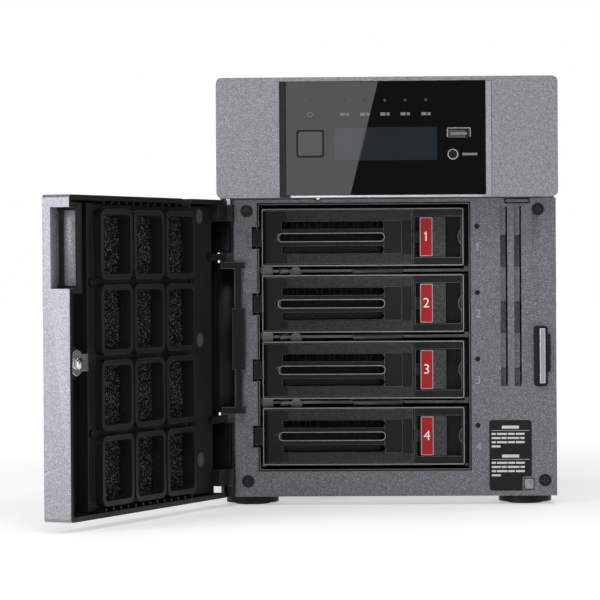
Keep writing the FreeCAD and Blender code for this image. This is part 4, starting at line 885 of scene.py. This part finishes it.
def makeSticker():
    row = panelLook
    low, high = panelFace - row["stickerThick"], panelFace
    sheet = startRoundPlate("sticker", row["stickerX"], row["stickerZ"], (low, high), 1.6)
    corner = startRoundPlate("corner", (row["notchX"], row["stickerX"][1] + 3),
                             (row["stickerZ"][0] - 3, row["notchZ"]),
                             (low - 1, high + 1), 1.2)
    cutAway(sheet, corner)
    withLook(sheet, "stickerBlack")
    lines = []
    left, right = row["stickerX"][0] + 1.2, row["stickerX"][1] - 1.2
    top = row["stickerZ"][1]
    for drop, thick, start, end in stickerRows(left, right):
        bar = startBox("line", (start, end), (low - 0.02, low + 0.02),
                       (top - drop - thick / 2, top - drop + thick / 2))
        lines.append(withLook(bar, "stickerInk"))
    finishPiece(joinPieces("service_sticker", [sheet] + lines), "chassis")


# plain bars in place of words: drop below the top, thickness, start, end
def stickerRows(left, right):
    for head in (3.6, 18.2):
        yield head, 1.5, left + 5.2, right - 5.2
        yield head + 1.7, 0.18, left, right
        for line in range(4):
            start = left
            shares = (0.26, 0.16, 0.34, 0.14) if line % 2 else (0.14, 0.3, 0.2, 0.26)
            for share in shares[:4 if line < 3 else 1]:
                yield head + 3.4 + 2.1 * line, 1.0, start, start + share * (right - left) - 0.5
                start += share * (right - left)


def cutAway(piece, tool):
    makeActive(piece)
    cut = piece.modifiers.new("cut", "BOOLEAN")
    cut.operation = "DIFFERENCE"
    cut.solver = "EXACT"
    cut.object = tool
    bpy.ops.object.modifier_apply(modifier="cut")
    bpy.data.objects.remove(tool)


def makePanelBits():
    row = panelLook
    # a black strip on the step face left of the guard arm: painted shade in the gap between door and arm,
    # which also hides the see-through there
    liner = startBox("guard_shade_strip", row["shadeStripX"], row["shadeStripY"], row["shadeStripZ"])
    roundEdges(liner, 0.1)
    finishPiece(liner, "chassis", "blackPlastic")
    block = startBox("key_block", row["pieceX"], row["pieceY"], row["pieceZ"])
    sinkFront(block, 0.9, -0.5)
    roundEdges(block, 0.25)
    finishPiece(block, "chassis", "castAluminium")
    bump = startBox("striker_bump", row["bumpX"], row["bumpY"], row["bumpZ"])
    roundEdges(bump, 0.7, 3)
    finishPiece(bump, "chassis", "blackPlastic")
    latchSlot = startRoundPlate("catch_slot", row["slotX"], row["slotZ"],
                                (panelFace - 0.5, panelFace + 0.3), 0.5)
    sinkFront(latchSlot, 0.6, 0.7)
    roundEdges(latchSlot, 0.12)
    finishPiece(latchSlot, "chassis", "blackPlastic")


railLook = {"blockX": (-55.2, -50.6), "half": 1.9, "y": (-83, -74), "bossX": -46.6, "boss": 2.9,
            "bossDrop": 0.9, "wedgeX": (-64, -58.4), "tabX": (-18, 8)}


def makeRailBits():
    row = railLook
    gap = trayTop - trayPitch / 2
    block = startBox("block", row["blockX"], row["y"], (gap - row["half"], gap + row["half"]))
    roundEdges(block, 0.4)
    tab = startBox("tab", row["tabX"], (row["y"][0] + 3, row["y"][1]),
                   (gap - row["half"], gap + row["half"]))
    roundEdges(tab, 0.5)
    boss = startRod("boss", (row["bossX"], row["y"][0] + 2, gap - row["bossDrop"]), "Y", row["boss"], 4, 28)
    sinkFront(boss, 1.3, 1.5)
    wedge = startBox("wedge", row["wedgeX"], row["y"], (gap - row["half"], gap + row["half"]))
    selectFaces(wedge, lambda place, normal: normal.z < -0.9)
    bpy.ops.mesh.extrude_region_move(TRANSFORM_OT_translate={"value": (1.5 * mm, 0, -0.4 * mm)})
    bpy.ops.object.mode_set(mode="OBJECT")
    first = joinPieces("rail_bits_1", [block, tab, boss, wedge])
    copies = [first] + [copyPiece(first, f"rail_bits_{n + 1}", (0, 0, -trayPitch * n)) for n in (1, 2)]
    for piece in copies:
        finishPiece(piece, "chassis", "darkSteel")


makeBayDigits()
makeSticker()
makePanelBits()
makeRailBits()
print("front panel fitted out")


hoodFace = -115
markLook = {"iconX": -38.1, "z": 196.4, "thick": 0.06, "labels": (-20.9, -10.8, -0.8, 9.3, 19.6),
            "wide": 4.6, "high": 0.75,
            "functionX": (37.6, 45), "functionZ": (175.6, 176.8), "displayX": (31.8, 39.9),
            "displayZ": (185.8, 187.1)}


def makeStatusMarks():
    row = markLook
    y = (hoodFace - row["thick"], hoodFace)
    ring = startRod("icon", (row["iconX"], sum(y) / 2, row["z"]), "Y", 1.35, row["thick"], 28)
    openFront(ring, 0.28)
    gap = startBox("gap", (row["iconX"] - 0.55, row["iconX"] + 0.55), (y[0] - 1, y[1] + 1),
                   (row["z"] + 0.4, row["z"] + 2))
    cutAway(ring, gap)
    marks = [ring, startBox("bar", (row["iconX"] - 0.14, row["iconX"] + 0.14), y,
                            (row["z"] + 0.2, row["z"] + 1.6))]
    for x in row["labels"]:
        for share, shift in ((0.55, -0.22), (0.32, 0.34)):
            half = row["wide"] * share / 2
            centre = x + shift * row["wide"]
            marks.append(startBox("mark", (centre - half, centre + half), y,
                                  (row["z"] - row["high"], row["z"] + row["high"])))
    functionMark = startBox("mark", row["functionX"], y, row["functionZ"])
    displayMark = startBox("mark", row["displayX"], (hoodFace - 0.26, hoodFace - 0.2), row["displayZ"])
    finishPiece(joinPieces("window_marks", marks + [functionMark]), "chassis", "markInk")
    finishPiece(displayMark, "display_button", "markInk")
    displayMark.name = "display_mark"


ringLook = {"function": (32.9, 176.2), "outer": 2.65, "rim": 0.55, "power": (-38.05, 181.9),
            "powerHalf": 6.9, "powerRim": 0.75,
            "display": (35.85, 186.6), "displayHalf": (5.85, 2.75), "displayRim": 0.3}


def makeButtonFrames():
    row = ringLook
    x, z = row["function"]
    ring = startRod("function_ring", (x, hoodFace - 0.1, z), "Y", row["outer"], 0.2, 40)
    openFront(ring, row["rim"])
    roundEdges(ring, 0.08, 1)
    finishPiece(ring, "chassis", "silverTrim")
    x, z = row["power"]
    half = row["powerHalf"]
    frameRing = startRoundPlate("power_frame", (x - half, x + half), (z - half, z + half),
                                (hoodFace - 0.08, hoodFace), 1.2)
    openFront(frameRing, row["powerRim"])
    finishPiece(frameRing, "chassis", "blackPlastic")
    x, z = row["display"]
    halfX, halfZ = row["displayHalf"]
    lit = startRoundPlate("display_frame", (x - halfX, x + halfX), (z - halfZ, z + halfZ),
                          (hoodFace - 0.12, hoodFace), 0.5)
    openFront(lit, row["displayRim"])
    lower = startBox("lower", (x - 9, x + 9), (hoodFace - 2, hoodFace + 2), (z - 5, z - halfZ + 1))
    cutAway(lit, lower)
    finishPiece(lit, "chassis", "silverTrim")


makeStatusMarks()
makeButtonFrames()
print("window fitted out")

placeCamera()
placeLights()
placeFloor()
print("camera and lights placed")
